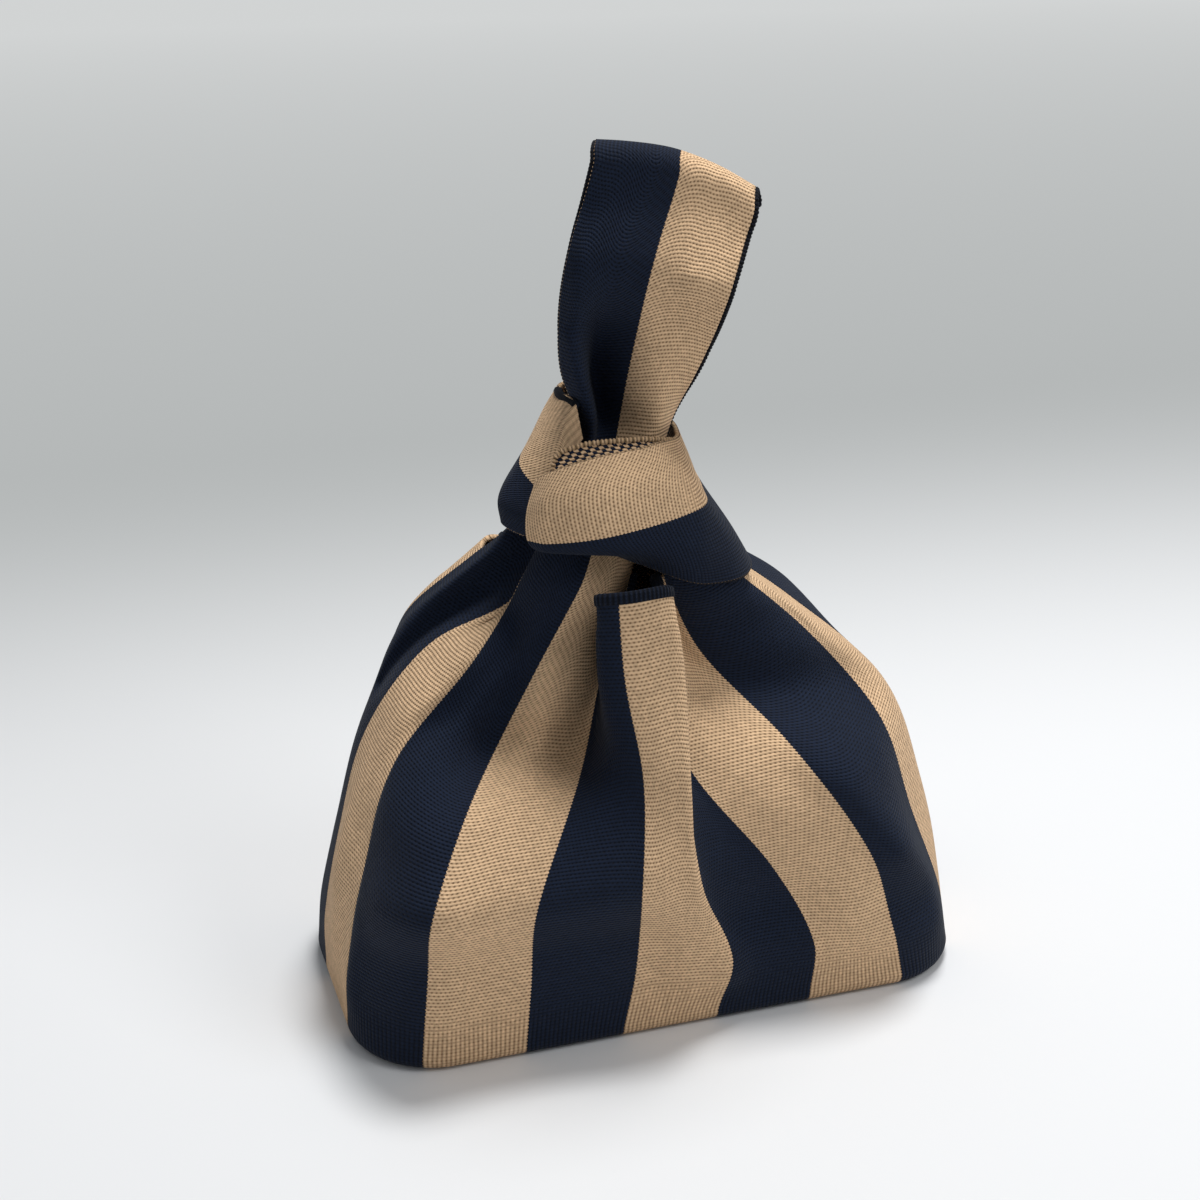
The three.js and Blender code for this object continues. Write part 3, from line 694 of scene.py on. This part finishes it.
# %% The loop: a height, then x and y at each place across, in millimetres
STRAP_ACROSS = np.linspace(0, 1, 49)
STRAP_PLACES = np.array([0, 0.15, 0.35, 0.5, 0.75, 1])
STRAP_SOFTNESS = 0.05
LOOP_FOLD_RADIUS, LOOP_FOLD_SKEW, LOOP_ARCH = 5, 0.45, 3
LOOP_FRONT = [
    [156, [-14.5, 0.5], [-11, -4.5], [-8.5, 3], [-4.5, 0], [3, -7.5], [9, -1.5]],
    [170, [-20, 0], [-15, -5.5], [-10.5, 3.5], [-3.5, -5.5], [5, -10], [13.5, -8.5]],
    [186, [-20.5, -1], [-17, -6], [-9.5, -4.5], [-1, -8], [9, -11], [19, -12]],
    [202, [-18, -3], [-15, -6], [-6.5, -7.5], [3, -8.5], [13, -11], [23.7, -12]],
]
LOOP_BACK = [
    [200, [-12.5, 6], [-11, 9], [-7, 10], [2, 8], [12, 5], [21, 3]],
    [185, [-16, 8], [-14.5, 11], [-9, 14], [-2, 13], [7, 11], [16, 7]],
    [170, [-15, 8], [-14.5, 11.5], [-11, 15], [-6, 16], [2, 15], [10, 11]],
    [156, [-13.5, 6], [-13.5, 10], [-11.5, 12.5], [-9, 14], [-3, 15], [4, 12]],
]
LOOP_CREASES = [
    (17, 148, 13, 180, 6, -5), (4, 150, 3, 178, 3, 2.5), (0, 197, 44, 191, 13, 6),
    (30, 192, 42, 188, 3.5, 1.8), (27, 184, 40, 176, 5, -2.5),
    (34, 170, 38, 160, 6, -2), (30, 214, 38, 204, 6, -1.5),
]
LOOP_TOP_LEFT = (-11, -1, 227)
LOOP_TOP_RIGHT = (28.3, -7, 214.6)
print("the loop's top is", max(LOOP_TOP_LEFT[2], LOOP_TOP_RIGHT[2]), "mm up")

# %% The wrap: five points across the band, from its upper edge down, in millimetres
WRAP_PLACES = np.array([0, 0.25, 0.5, 0.75, 1])
WRAP = np.array([
    [-30.3, -12, 146.6, -33, -12.5, 138.5, -33.5, -14.5, 131.5, -31, -16, 129, -28.5, -16, 129],
    [-26, -16.5, 150, -30, -19, 142.5, -29.7, -20.2, 132, -28.7, -20, 129.6, -26, -18.5, 129.3],
    [-16, -19, 153, -17, -24.5, 146, -18, -27, 134.5, -17, -25, 129.5, -16, -20, 128.5],
    [-5, -19.5, 154.3, -3, -24.5, 147, -3, -26.5, 136.5, -5, -26, 129, -6, -21.5, 124.5],
    [0.5, -17, 154.6, 5, -21, 148, 8.5, -23, 138, 9.5, -25, 127, 9, -24, 118.5],
    [6.5, -12.5, 153.8, 8.5, -16.5, 148, 13, -18, 138, 18.8, -19, 127, 21.8, -20.5, 117.3],
    [10.3, -4.5, 152.7, 12, -7, 147.5, 15.5, -9, 138, 23.5, -9.5, 127, 29.2, -9.5, 117],
    [11.5, 5, 153.5, 14, 5, 147, 18, 6, 139, 24, 7, 129, 30, 8, 118],
    [8.5, 17, 155.5, 11, 20, 149, 15, 21.5, 141, 19, 22.5, 131, 22, 24, 121],
    [-3, 21, 160, -3, 23.5, 152, -3, 26, 143, -3, 27, 134, -2, 27, 125],
    [-14, 17, 162.5, -17, 19.5, 156, -19, 21.5, 147, -22, 22, 138, -23, 21.5, 130],
    [-18.7, 7.5, 162.5, -23.5, 5.5, 155, -30, 4, 146, -36, 3, 138, -35.5, 3, 131],
    [-17.5, -4, 163, -22.5, -6.5, 155, -28.3, -8, 142, -31.8, -8.5, 136, -30.5, -8, 130],
    [-17, -9, 155, -22.2, -11, 149.5, -25.7, -12, 142, -26.5, -12, 137, -25.5, -11.5, 133],
], float).reshape(-1, len(WRAP_PLACES), 3)
print("the wrap is drawn with", len(WRAP), "rows")

# %% Surfaces of the straps
def softened_row(places, row, at, softness):
    """Across an open row, where the softening dies away at the two edges."""
    to_edge = np.minimum(at - places[0], places[-1] - at)
    reach = np.clip(to_edge, 0, softness)
    return softened(lambda place: across_row(places, row, row, place), at, reach)


def leg_rows(leg, rise, stripes, shares):
    places = leg[:, 0]
    below, foot = body_rows(places, [HEM - rise / 2, HEM])
    middle = np.column_stack([leg[:, 1:3], np.full(len(leg), HEM + rise / 2)])
    top = np.column_stack([leg[:, 3:5], np.full(len(leg), HEM + rise)])
    points = np.array([below, foot, middle, top])
    rows = through([-0.5, 0, 0.5, 1], points, shares)
    return np.array([softened_row(places, row, stripes, FOLD_SOFTNESS) for row in rows])


def strap_rows(rows, places, across, along):
    middle = rows[:, len(places) // 2]
    stations = np.concatenate([[0], np.cumsum(np.linalg.norm(np.diff(middle, axis=0), axis=1))])
    at = np.interp(along, np.arange(len(rows)), stations)
    lines = through(stations, rows, at)
    return np.array([softened_row(places, line, across, STRAP_SOFTNESS) for line in lines])


def loop_table():
    def front_or_back(rows):
        return [[(x, y, row[0]) for x, y in row[1:]] for row in rows]

    left, right = np.array(LOOP_TOP_LEFT, float), np.array(LOOP_TOP_RIGHT, float)
    arch = np.sin(math.pi * STRAP_PLACES)[:, None] * np.array([0.4 * LOOP_ARCH, 0, LOOP_ARCH])
    edge = left + (right - left) * STRAP_PLACES[:, None] + arch
    full, part = LOOP_FOLD_RADIUS, LOOP_FOLD_RADIUS / math.sqrt(2)
    turns = [(-full, full), (-part, full - part), (0, 0), (part, full - part), (full, full)]
    top = [edge + np.array([LOOP_FOLD_SKEW * back, back, -drop]) for back, drop in turns]
    return np.array([*front_or_back(LOOP_FRONT), *top, *front_or_back(LOOP_BACK)], float)


loop_rows = loop_table()
SEAM_ROW = len(LOOP_FRONT) + 4
LAST_ROW = len(loop_rows) - 1
print("the loop is drawn with", len(loop_rows), "rows")

# %% [markdown]
# ## Front and back panels
# Each panel is one knitted piece: half of the body, with the ends of both straps growing out of its
# top edge. It could be sewn up from stripes, but then every stripe edge would show as a seam. So the
# body and the two strap ends are pinned as three sheets, joined into one, relaxed where they meet,
# and only then given their thickness. The map named ribs says where the wales stand apart.

# %% Front and back panels
LONG_LEG_TOP = 0.76
BODY_ROWS, UNDER_ROWS = 130, 7
END_SPACING, END_MERGE = 0.9, 8
RELAX_REACH, RELAX_ROUNDS = 9, 10
RIB_FADE, RIB_SHARE = (6, 20), 0.8


def rows_of_heights(top, steps):
    under = ROUND_UNDER * (1 - np.cos(np.linspace(0, math.pi / 2, UNDER_ROWS)))
    return np.concatenate([under, np.linspace(ROUND_UNDER, top, steps + 1)[1:]])


def strap_end(name, body, stripes, courses, first, last, table, turn, rise, top):
    """The end of a strap, whose first row is the body's own top row."""
    columns = (stripes >= first - 1e-9) & (stripes <= last + 1e-9)
    shares = np.linspace(0, top, round(rise * top / END_SPACING) + 1)
    rows = leg_rows(table, rise, stripes[columns] - turn, shares)
    merge = np.clip(1 - shares * rise / END_MERGE, 0, 1)[:, None, None]
    rows = rows + (body[-1, columns] - rows[0]) * merge
    counted = arc_lengths(rows) / COURSE + courses[-1, columns]
    return sheet(name, rows, stripes[columns] * WALES, counted, [face_knit, reverse_knit])


def panel(name, first, last, per_stripe, ends):
    stripes = np.linspace(first, last, (last - first) * per_stripe + 1)
    body = body_rows(stripes, rows_of_heights(HEM, BODY_ROWS))
    courses = arc_lengths(body) / COURSE
    ribs = (1 - rising(body[..., 2], *RIB_FADE)) * RIB_SHARE
    parts = [sheet(name, body, stripes * WALES, courses, [face_knit, reverse_knit], ribs)]
    for number, end in enumerate(ends):
        parts.append(strap_end(f"{name}_end_{number}", body, stripes, courses, *end))
    piece = relaxed(joined(parts), HEM - RELAX_REACH, HEM + RELAX_REACH, RELAX_ROUNDS)
    return thickened(piece, squeezed_at=CLOSED_FOLDS)


front_panel = panel("front_panel", 2, 10, 24, [
    (2, 4, LONG_FRONT_LEG, 0, LEG_RISE, LONG_LEG_TOP),
    (8, 10, SHORT_LEG, 0, SHORT_LEG_RISE, 1),
])
back_panel = panel("back_panel", 10, 18, 18, [
    (10, 12, SHORT_LEG, 0, SHORT_LEG_RISE, 1),
    (16, 18, LONG_BACK_LEG, 16, LEG_RISE, LONG_LEG_TOP),
])

# %% [markdown]
# ## The long strap's loop
# Above the knot the long strap is a plain loop. Its front rises to a soft arched fold, and its back
# comes down again, joined just behind the fold. The side edges are the knit's own selvages. Each
# half starts a little way down inside the knot, where its end is out of sight. One bent strip would
# keep a single width, but the knot gathers this one, so both halves are drawn by rows. The front is
# creased like the body, except in the knot and near the fold, where the wales stand apart as ribs.

# %% Front and back of the loop
LOOP_START, LOOP_LEG_END, LOOP_LEG_ROWS = 0.72, 0.985, 11
EASE_REACH, EASE_ROUNDS = 8, 40
STRAP_MM = 40
LOOP_CREASES_RISE, LOOP_CREASES_FALL, LOOP_RIBS_RISE = (150, 160), (206, 220), (219, 226)


def eased(rows, around):
    """Evens out the rows near one of them, so that two curves meet without a crease."""
    first, last = around - EASE_REACH + 1, around + EASE_REACH - 1
    for _ in range(EASE_ROUNDS):
        beside = (rows[first - 1:last - 1] + rows[first + 1:last + 1]) / 2
        rows[first:last] = (rows[first:last] + beside) / 2
    return rows


def loop_side(name, table, stripes, along, downwards):
    shares = np.linspace(LOOP_START, LOOP_LEG_END, LOOP_LEG_ROWS)
    order = np.argsort(stripes)
    inside = leg_rows(table, LEG_RISE, stripes[order], shares)[:, np.argsort(order)]
    outside = strap_rows(loop_rows, STRAP_PLACES, STRAP_ACROSS, along)
    if downwards:
        surface = eased(np.concatenate([outside, inside[::-1]]), len(outside))
    else:
        surface = eased(np.concatenate([inside, outside]), len(inside))
        height = surface[..., 2]
        free = rising(height, *LOOP_CREASES_RISE) * (1 - rising(height, *LOOP_CREASES_FALL))
        lift = pressed(STRAP_ACROSS * STRAP_MM, height, LOOP_CREASES) * free
        surface = surface + lift[..., None] * OUT
    courses = arc_lengths(surface) / COURSE
    ribs = rising(surface[..., 2], *LOOP_RIBS_RISE) * RIB_SHARE
    finishes = [face_knit, reverse_knit]
    return thickened(sheet(name, surface, stripes * WALES, courses, finishes, ribs)), surface


up_front, down_back = np.linspace(0, SEAM_ROW, 111), np.linspace(SEAM_ROW, LAST_ROW, 81)
loop_front, loop_front_surface = loop_side(
    "long_handle_front", LONG_FRONT_LEG, 2 + 2 * STRAP_ACROSS, up_front, False)
loop_back, loop_back_surface = loop_side(
    "long_handle_back", LONG_BACK_LEG, 2 - 2 * STRAP_ACROSS, down_back, True)

# %% [markdown]
# ## Selvages
# A selvage is the self-finished side edge of knitted cloth: a chain of small beads where the yarn
# turns back at the end of each course. It could be drawn by the finish alone, but the beads stand
# proud of the edge and show against the light, so each selvage is a thin beaded tube along its edge.

# %% A beaded tube along an edge
RINGS_PER_BEAD, BEAD_SIDES, BEAD_ROUNDNESS, TAPER = 6, 8, 0.7, 0.5
ASIDE = (0.31, -0.83, 0.46)


def chain_of_beads(name, line, finish, radius=0.42, bead=0.16):
    """A closed tube round a line of points, one bead to a course."""
    length = np.concatenate([[0], np.cumsum(np.linalg.norm(np.diff(line, axis=0), axis=1))])
    at = np.linspace(0, length[-1], max(12, round(length[-1] / COURSE * RINGS_PER_BEAD)))
    spine = np.stack([np.interp(at, length, line[:, k]) for k in range(3)], 1)
    ahead = unit(np.gradient(spine, axis=0))
    side = unit(np.cross(ahead, ASIDE))
    other = np.cross(ahead, side)
    girth = radius + bead * np.abs(np.cos(math.pi * at / COURSE)) ** BEAD_ROUNDNESS
    girth *= np.sqrt(np.clip(np.minimum(at, at[-1] - at) / TAPER, 0.0004, 1))
    angles = np.linspace(0, 2 * math.pi, BEAD_SIDES + 1)
    cosines, sines = np.cos(angles)[:, None], np.sin(angles)[:, None]
    ring = cosines * side[:, None] + sines * other[:, None]
    surface = spine[:, None] + girth[:, None, None] * ring
    wales = np.broadcast_to(angles / (2 * math.pi), surface.shape[:2])
    piece = sheet(name, surface, wales, (at / COURSE)[:, None], [finish])
    merge_doubles(piece)
    face_outwards(piece)
    bpy.ops.object.shade_smooth()
    print(name, "is a chain of", round(float(at[-1] / COURSE)), "beads")
    return piece


def edge_line(surface, column, outward=0.3):
    """The line along a side edge, a little outside the cloth and half its thickness in."""
    across = unit(surface[:, column] - surface[:, column + (1 if column == 0 else -2)])
    along = np.gradient(surface[:, column], axis=0)
    normal = unit(np.cross(across, along) * (-1 if column == 0 else 1))
    return surface[:, column] + outward * across - FABRIC / 2 * normal


whole_loop = np.concatenate([loop_front_surface, loop_back_surface[1:]])
loop_right_selvage = chain_of_beads(
    "long_handle_right_selvage_beads", edge_line(whole_loop, -1, 0.6), navy_beads, 0.55, 0.3)
loop_left_selvage = chain_of_beads(
    "long_handle_left_selvage_beads", edge_line(whole_loop, 0), navy_beads, 0.4, 0.14)

# %% The joining seam of the loop
def seam_ridge(name, surface, row):
    """A low ridge of backstitches where the strap's two ends are joined, behind the fold."""
    line = surface[row, 1:-1]
    du = np.gradient(line, axis=0)
    dv = surface[row + 1, 1:-1] - surface[row - 1, 1:-1]
    return chain_of_beads(name, line + 0.1 * unit(np.cross(du, dv)), navy_beads, 0.38, 0.12)


loop_seam = seam_ridge("long_handle_joining_seam_ridge", loop_back_surface, 1)

# %% [markdown]
# ## The short strap's wrap
# The short strap is the band of the knot. It wraps once round the long strap and tucks its inner end
# under its outer one. Its upper edge rolls open at the front and shows the checked reverse side, and
# its outer end is a small navy roll at the left. Where it is stretched over the knot, its wales stand
# apart as ribs. A ring would look like metal, because it is the same all round. So the band is drawn
# by rows as well, wider at the right, where it spreads over the gathered body.

# %% The wrap
WRAP_ROWS, OUTER_END = 221, 184
WRAP_RIBS_RISE, WRAP_RIBS_FALL, WRAP_RIB_SHARE = (3.3, 4.6), (7, 8), 0.9


def wrap_band(name):
    along = np.linspace(0, len(WRAP) - 1, WRAP_ROWS)
    surface = strap_rows(WRAP, WRAP_PLACES, STRAP_ACROSS, along)
    ribs = rising(along, *WRAP_RIBS_RISE) * (1 - rising(along, *WRAP_RIBS_FALL))
    ribs = ribs[:, None] * WRAP_RIB_SHARE
    wales, courses = WALES * (1 + 2 * STRAP_ACROSS), arc_lengths(surface) / COURSE
    return thickened(sheet(name, surface, wales, courses, [face_knit, reverse_knit], ribs)), surface


wrap, wrap_surface = wrap_band("short_handle_wrap")
upper_edge_line = edge_line(wrap_surface, 0, 0.1)
lower_edge_line = edge_line(wrap_surface, -1, 0.1)
wrap_upper_selvage = chain_of_beads(
    "short_handle_upper_selvage_beads", upper_edge_line[:OUTER_END], tan_beads, 0.4, 0.18)
wrap_lower_selvage = chain_of_beads(
    "short_handle_lower_selvage_beads", lower_edge_line[:OUTER_END + 2], navy_beads, 0.36, 0.1)
wrap_end_selvage = chain_of_beads(
    "short_handle_outer_end_selvage_beads", lower_edge_line[OUTER_END:], mixed_beads, 0.4, 0.18)

# %% The rolled edge that shows the reverse side
ROLL_FIRST, ROLL_LAST = 12, 84
ROLL_WIDTH, ROLL_EDGE, ROLL_SAG, ROLL_CLOTH = 4.4, 0.3, 0.35, 0.9
INWARD, BEHIND_EDGE = np.array([0, 0.62, 0.78]), np.array([0, 0.5, -0.3])


def rolled_edge(name):
    """A strip behind the band's upper edge, widest at the left, that shows the reverse side."""
    edge = edge_line(wrap_surface, 0, 0)[ROLL_FIRST:ROLL_LAST] + BEHIND_EDGE
    share = np.linspace(0, 1, len(edge))
    shape = np.sqrt(np.clip(share / 0.12, 0, 1)) * np.clip((1 - share) / 0.75, 0, 1)
    width = ROLL_WIDTH * shape + ROLL_EDGE
    steps = np.linspace(0, 1, 9)
    rows = []
    for step in steps:
        sag = np.array([0, 0, ROLL_SAG * math.sin(math.pi * step)])
        rows.append(edge + INWARD * (width * step)[:, None] - sag)
    surface = np.array(rows)
    wales = arc_lengths(np.swapaxes(surface, 0, 1)).T / WALE
    courses = (steps[:, None] * width[None]) / 0.85
    strip = sheet(name, surface, wales, courses, [reverse_knit, reverse_knit])
    beads = chain_of_beads(name + "_beads", surface[-1] + [0, -0.2, 0], tan_beads, 0.24, 0.5)
    return thickened(strip, ROLL_CLOTH), beads


roll, roll_beads = rolled_edge("short_handle_rolled_edge")
END_PLACES, END_OFFSET = [180, 190, 204], [0.3, -0.3, -0.6]
end_points = wrap_surface[END_PLACES, 0] + END_OFFSET
end_line = through([0, 1, 2], end_points, np.linspace(0, 2, 40))
end_roll = chain_of_beads("short_handle_outer_end_rolled_edge", end_line, navy_rib, 1.15, 0.06)

# %% [markdown]
# ## Neckline hems
# Between the two straps, each panel's top edge is bound with a narrow navy rib, folded over the raw
# edge. It starts on the face, goes over the top and ends inside. A tube along the edge would be
# quicker, but it would lack the flat face of a binding, so a thin strip follows the hem's profile.

# %% Neckline hems
HEM_PROFILE = [(-2.7, 0.05), (-2.6, 0.2), (-1.6, 0.28), (-0.5, 0.26), (0.1, 0.05), (0.3, -0.75),
               (0.1, -1.55), (-0.5, -1.76), (-1.6, -1.78), (-2.6, -1.7), (-2.7, -1.55)]
HEM_COURSE, HEM_CLOTH, HEM_GAP = 0.8, 0.3, 0.02


def neck_hem(name, first, last, per_stripe):
    columns = round((last - first) * per_stripe) + 1
    stripes = np.linspace(first + HEM_GAP, last - HEM_GAP, columns)
    below, top = body_rows(stripes, [HEM - 3, HEM])
    up = unit(top - below)
    normal = unit(np.cross(np.gradient(top, axis=0), top - below))
    surface = np.array([top + up * rise + normal * out for rise, out in HEM_PROFILE])
    courses = arc_lengths(surface) / HEM_COURSE
    piece = sheet(name, surface, stripes * WALES, courses, [navy_rib, navy_knit])
    return thickened(piece, HEM_CLOTH)


front_hem = neck_hem("front_neck_hem_fold", 4, 8, 60)
back_hem = neck_hem("back_neck_hem_fold", 12, 15.4, 40)

# %% [markdown]
# ## The base and the side seams
# The bag stands on a flat rounded rectangle of plain knit. Inside, the two panels are joined by side
# seams, whose allowance stands in as a narrow double fin with an overlocked edge. A filled polygon
# would do for the base, but rows that shrink towards its middle give it a fine even mesh.

# %% The base
def base_piece(name):
    stripes = np.linspace(0, STRIPES, 129)
    edge = base_outline(stripes, ROUND_UNDER)
    shares = np.linspace(1, 0.001, 24)
    surface = np.array([np.column_stack([edge * share, np.zeros(len(edge))]) for share in shares])
    wales, courses = surface[:, :, 0] / WALE, surface[:, :, 1] / COURSE
    piece = sheet(name, surface, wales, courses, [navy_knit, navy_knit])
    merge_doubles(piece)
    face_outwards(piece)
    if piece.data.polygons[0].normal.z > 0:
        piece.data.flip_normals()
    return thickened(piece)


base = base_piece("base_panel_knit")

# %% Side seam allowances
FIN_BOTTOM, FIN_TOP, FIN_NEAR, FIN_FAR, FIN_CLOTH = 8, 100, 0.8, 4.4, 1.3


def seam_allowance(name, stripe):
    """A fin of two layers, some 4 mm deep, along the inner side of a body seam."""
    heights = np.linspace(FIN_BOTTOM, FIN_TOP, 70)
    rows = body_rows([stripe - 0.02, stripe, stripe + 0.02], heights)
    across = unit(rows[:, 2] - rows[:, 0])
    outward = unit(np.cross(across, np.gradient(rows[:, 1], axis=0)))
    wave = 0.35 * np.sin(heights / 5)[:, None] * across
    depths = np.linspace(FABRIC + FIN_NEAR, FABRIC + FIN_FAR, 7)
    surface = [rows[:, 1] - outward * depth + wave * (depth - FABRIC) / 4 for depth in depths]
    surface = np.swapaxes(np.array(surface), 0, 1)
    courses = arc_lengths(surface) / COURSE
    fin = thickened(sheet(name, surface, depths / WALE, courses, [navy_knit, navy_knit]), FIN_CLOTH)
    edge = chain_of_beads(name + "_overlock", surface[:, -1], mixed_beads, 0.6, 0.2)
    return fin, edge


left_seam, left_overlock = seam_allowance("left_side_seam_allowance", 2)
right_seam, right_overlock = seam_allowance("right_side_seam_allowance", 10)

# %% [markdown]
# ## What each piece stands for, and what moves it
# The body and the knot's band stay where they are, and their smaller pieces ride on the bag's body.
# The loop above the knot slides up a little and tilts. The panels and the loop are left where they
# are drawn, on no body.

# %% Which imported nodes each piece stands for
def stripe_nodes(first, last):
    stripes = [name for name in sorted(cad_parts) if name.startswith("body_stripe")]
    return [name for name in stripes if first <= int(name.split("_")[2]) <= last]


def leg_nodes(side):
    yarns = ("navy", "tan")
    return [f"{strap}_handle_{side}_leg_{yarn}" for strap in ("long", "short") for yarn in yarns]


REPLACED = [
    (front_panel, *stripe_nodes(3, 10), *leg_nodes("front")),
    (back_panel, *stripe_nodes(1, 2), *stripe_nodes(11, 16), *leg_nodes("back")),
    (left_seam, "left_side_seam"),
    (right_seam, "right_side_seam"),
    (base, "base_panel"),
    (front_hem, "front_neck_hem"),
    (back_hem, "back_neck_hem"),
    (loop_front, "long_handle_front_navy", "long_handle_front_tan"),
    (loop_back, "long_handle_back_navy", "long_handle_back_tan"),
    (loop_left_selvage, "long_handle_left_selvage"),
    (loop_right_selvage, "long_handle_right_selvage"),
    (loop_seam, "long_handle_joining_seam"),
    (wrap, "short_handle_wrap_navy", "short_handle_wrap_tan"),
    (wrap_upper_selvage, "short_handle_wrap_selvage"),
]
for piece, *nodes in REPLACED:
    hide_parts(*nodes)
print("packed nodes replaced:", sum(len(nodes) for _, *nodes in REPLACED))

# %% The pieces that ride on the bag's body
BAG_PIECES = [
    base, front_hem, back_hem, wrap, wrap_upper_selvage, wrap_lower_selvage, wrap_end_selvage,
    roll, roll_beads, end_roll, left_seam, left_overlock, right_seam, right_overlock,
]
for piece in BAG_PIECES:
    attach(piece, "bag")
for piece in (front_panel, back_panel):
    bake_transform(piece)
LOOP_PIECES = [loop_front, loop_back, loop_left_selvage, loop_right_selvage, loop_seam]
for piece in LOOP_PIECES:
    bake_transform(piece)
TAN_PIECES = [wrap_upper_selvage, roll_beads]
for piece in [front_panel, back_panel, *BAG_PIECES, *LOOP_PIECES]:
    "tan_knit" if piece in TAN_PIECES else "navy_knit"
print("pieces:", 2 + len(BAG_PIECES) + len(LOOP_PIECES))

# %% [markdown]
# ## The stage
# A pale floor runs back into a pale grey backdrop. A large lamp hangs overhead, a little behind and
# to the right, so that folds facing up are light and those under the knot are dark. A weaker one at
# the front right keeps the navy from going black. The backdrop's grey is a colour that only the
# camera and reflections see, so it lights nothing.

# %% Floor and backdrop
FLOOR_SIZE = 9
NEAR, BEHIND, FAR = 0.05, 0.5, 2.6
ROOM_LIGHT = 0.44

bpy.ops.object.select_all(action="DESELECT")
bpy.ops.mesh.primitive_plane_add(size=FLOOR_SIZE, location=(0, 0, 0))
floor = bpy.context.object
floor.name = "floor"
pale = Finish("pale_floor")
place = pale.add("ShaderNodeTexCoord", {}, {}, "Object")
depth = pale.add("ShaderNodeSeparateXYZ", {}, [place], 1)
rays = pale.add("ShaderNodeLightPath", {}, {}).socket.node.outputs
kinds = ("Is Camera Ray", "Is Glossy Ray", "Is Transmission Ray")
seen = sum(Wire(pale, rays[kind]) for kind in kinds)
smooth = {"interpolation_type": "SMOOTHSTEP", "clamp": True}
behind = pale.add("ShaderNodeMapRange", smooth, {0: depth, 1: NEAR, 2: BEHIND}) * seen
far = pale.add("ShaderNodeMapRange", {"clamp": True}, {0: depth, 1: BEHIND, 2: FAR})
grey = pale.mix(far, srgb(180, 183, 183), srgb(208, 210, 210))
pale.surface(Base_Color=pale.mix(behind, srgb(226, 227, 228), (0, 0, 0, 1)), Roughness=0.9)
pale.surface(Emission_Color=pale.mix(behind, (0, 0, 0, 1), grey), Emission_Strength=1.0)
pale.surface(Specular_IOR_Level=0.1)
floor.data.materials.append(pale.material)

world = bpy.data.worlds.new("soft_room")
bpy.context.scene.world = world
world.use_nodes = True
room = world.node_tree.nodes["Background"]
room.inputs[0].default_value = srgb(220, 222, 225)
room.inputs[1].default_value = ROOM_LIGHT
print("the floor is", FLOOR_SIZE, "m wide and the room light is", ROOM_LIGHT)

# %% Lamps
LAMPS_FACE = Vector((0, 0, 0.1))


def soft_lamp(name, place, size, watts):
    bpy.ops.object.light_add(type="AREA", location=place)
    lamp = bpy.context.object
    lamp.name = name
    lamp.data.shape = "DISK"
    lamp.data.size = size
    lamp.data.energy = watts
    lamp.rotation_euler = (Vector(place) - LAMPS_FACE).to_track_quat("Z", "Y").to_euler()
    print(name, "gives", watts, "W")


soft_lamp("overhead_lamp", (0.16, 0.14, 1.05), 0.35, 9)
soft_lamp("front_lamp", (0.55, -0.55, 0.85), 0.5, 3.0)
bpy.context.scene.view_settings.view_transform = "Standard"
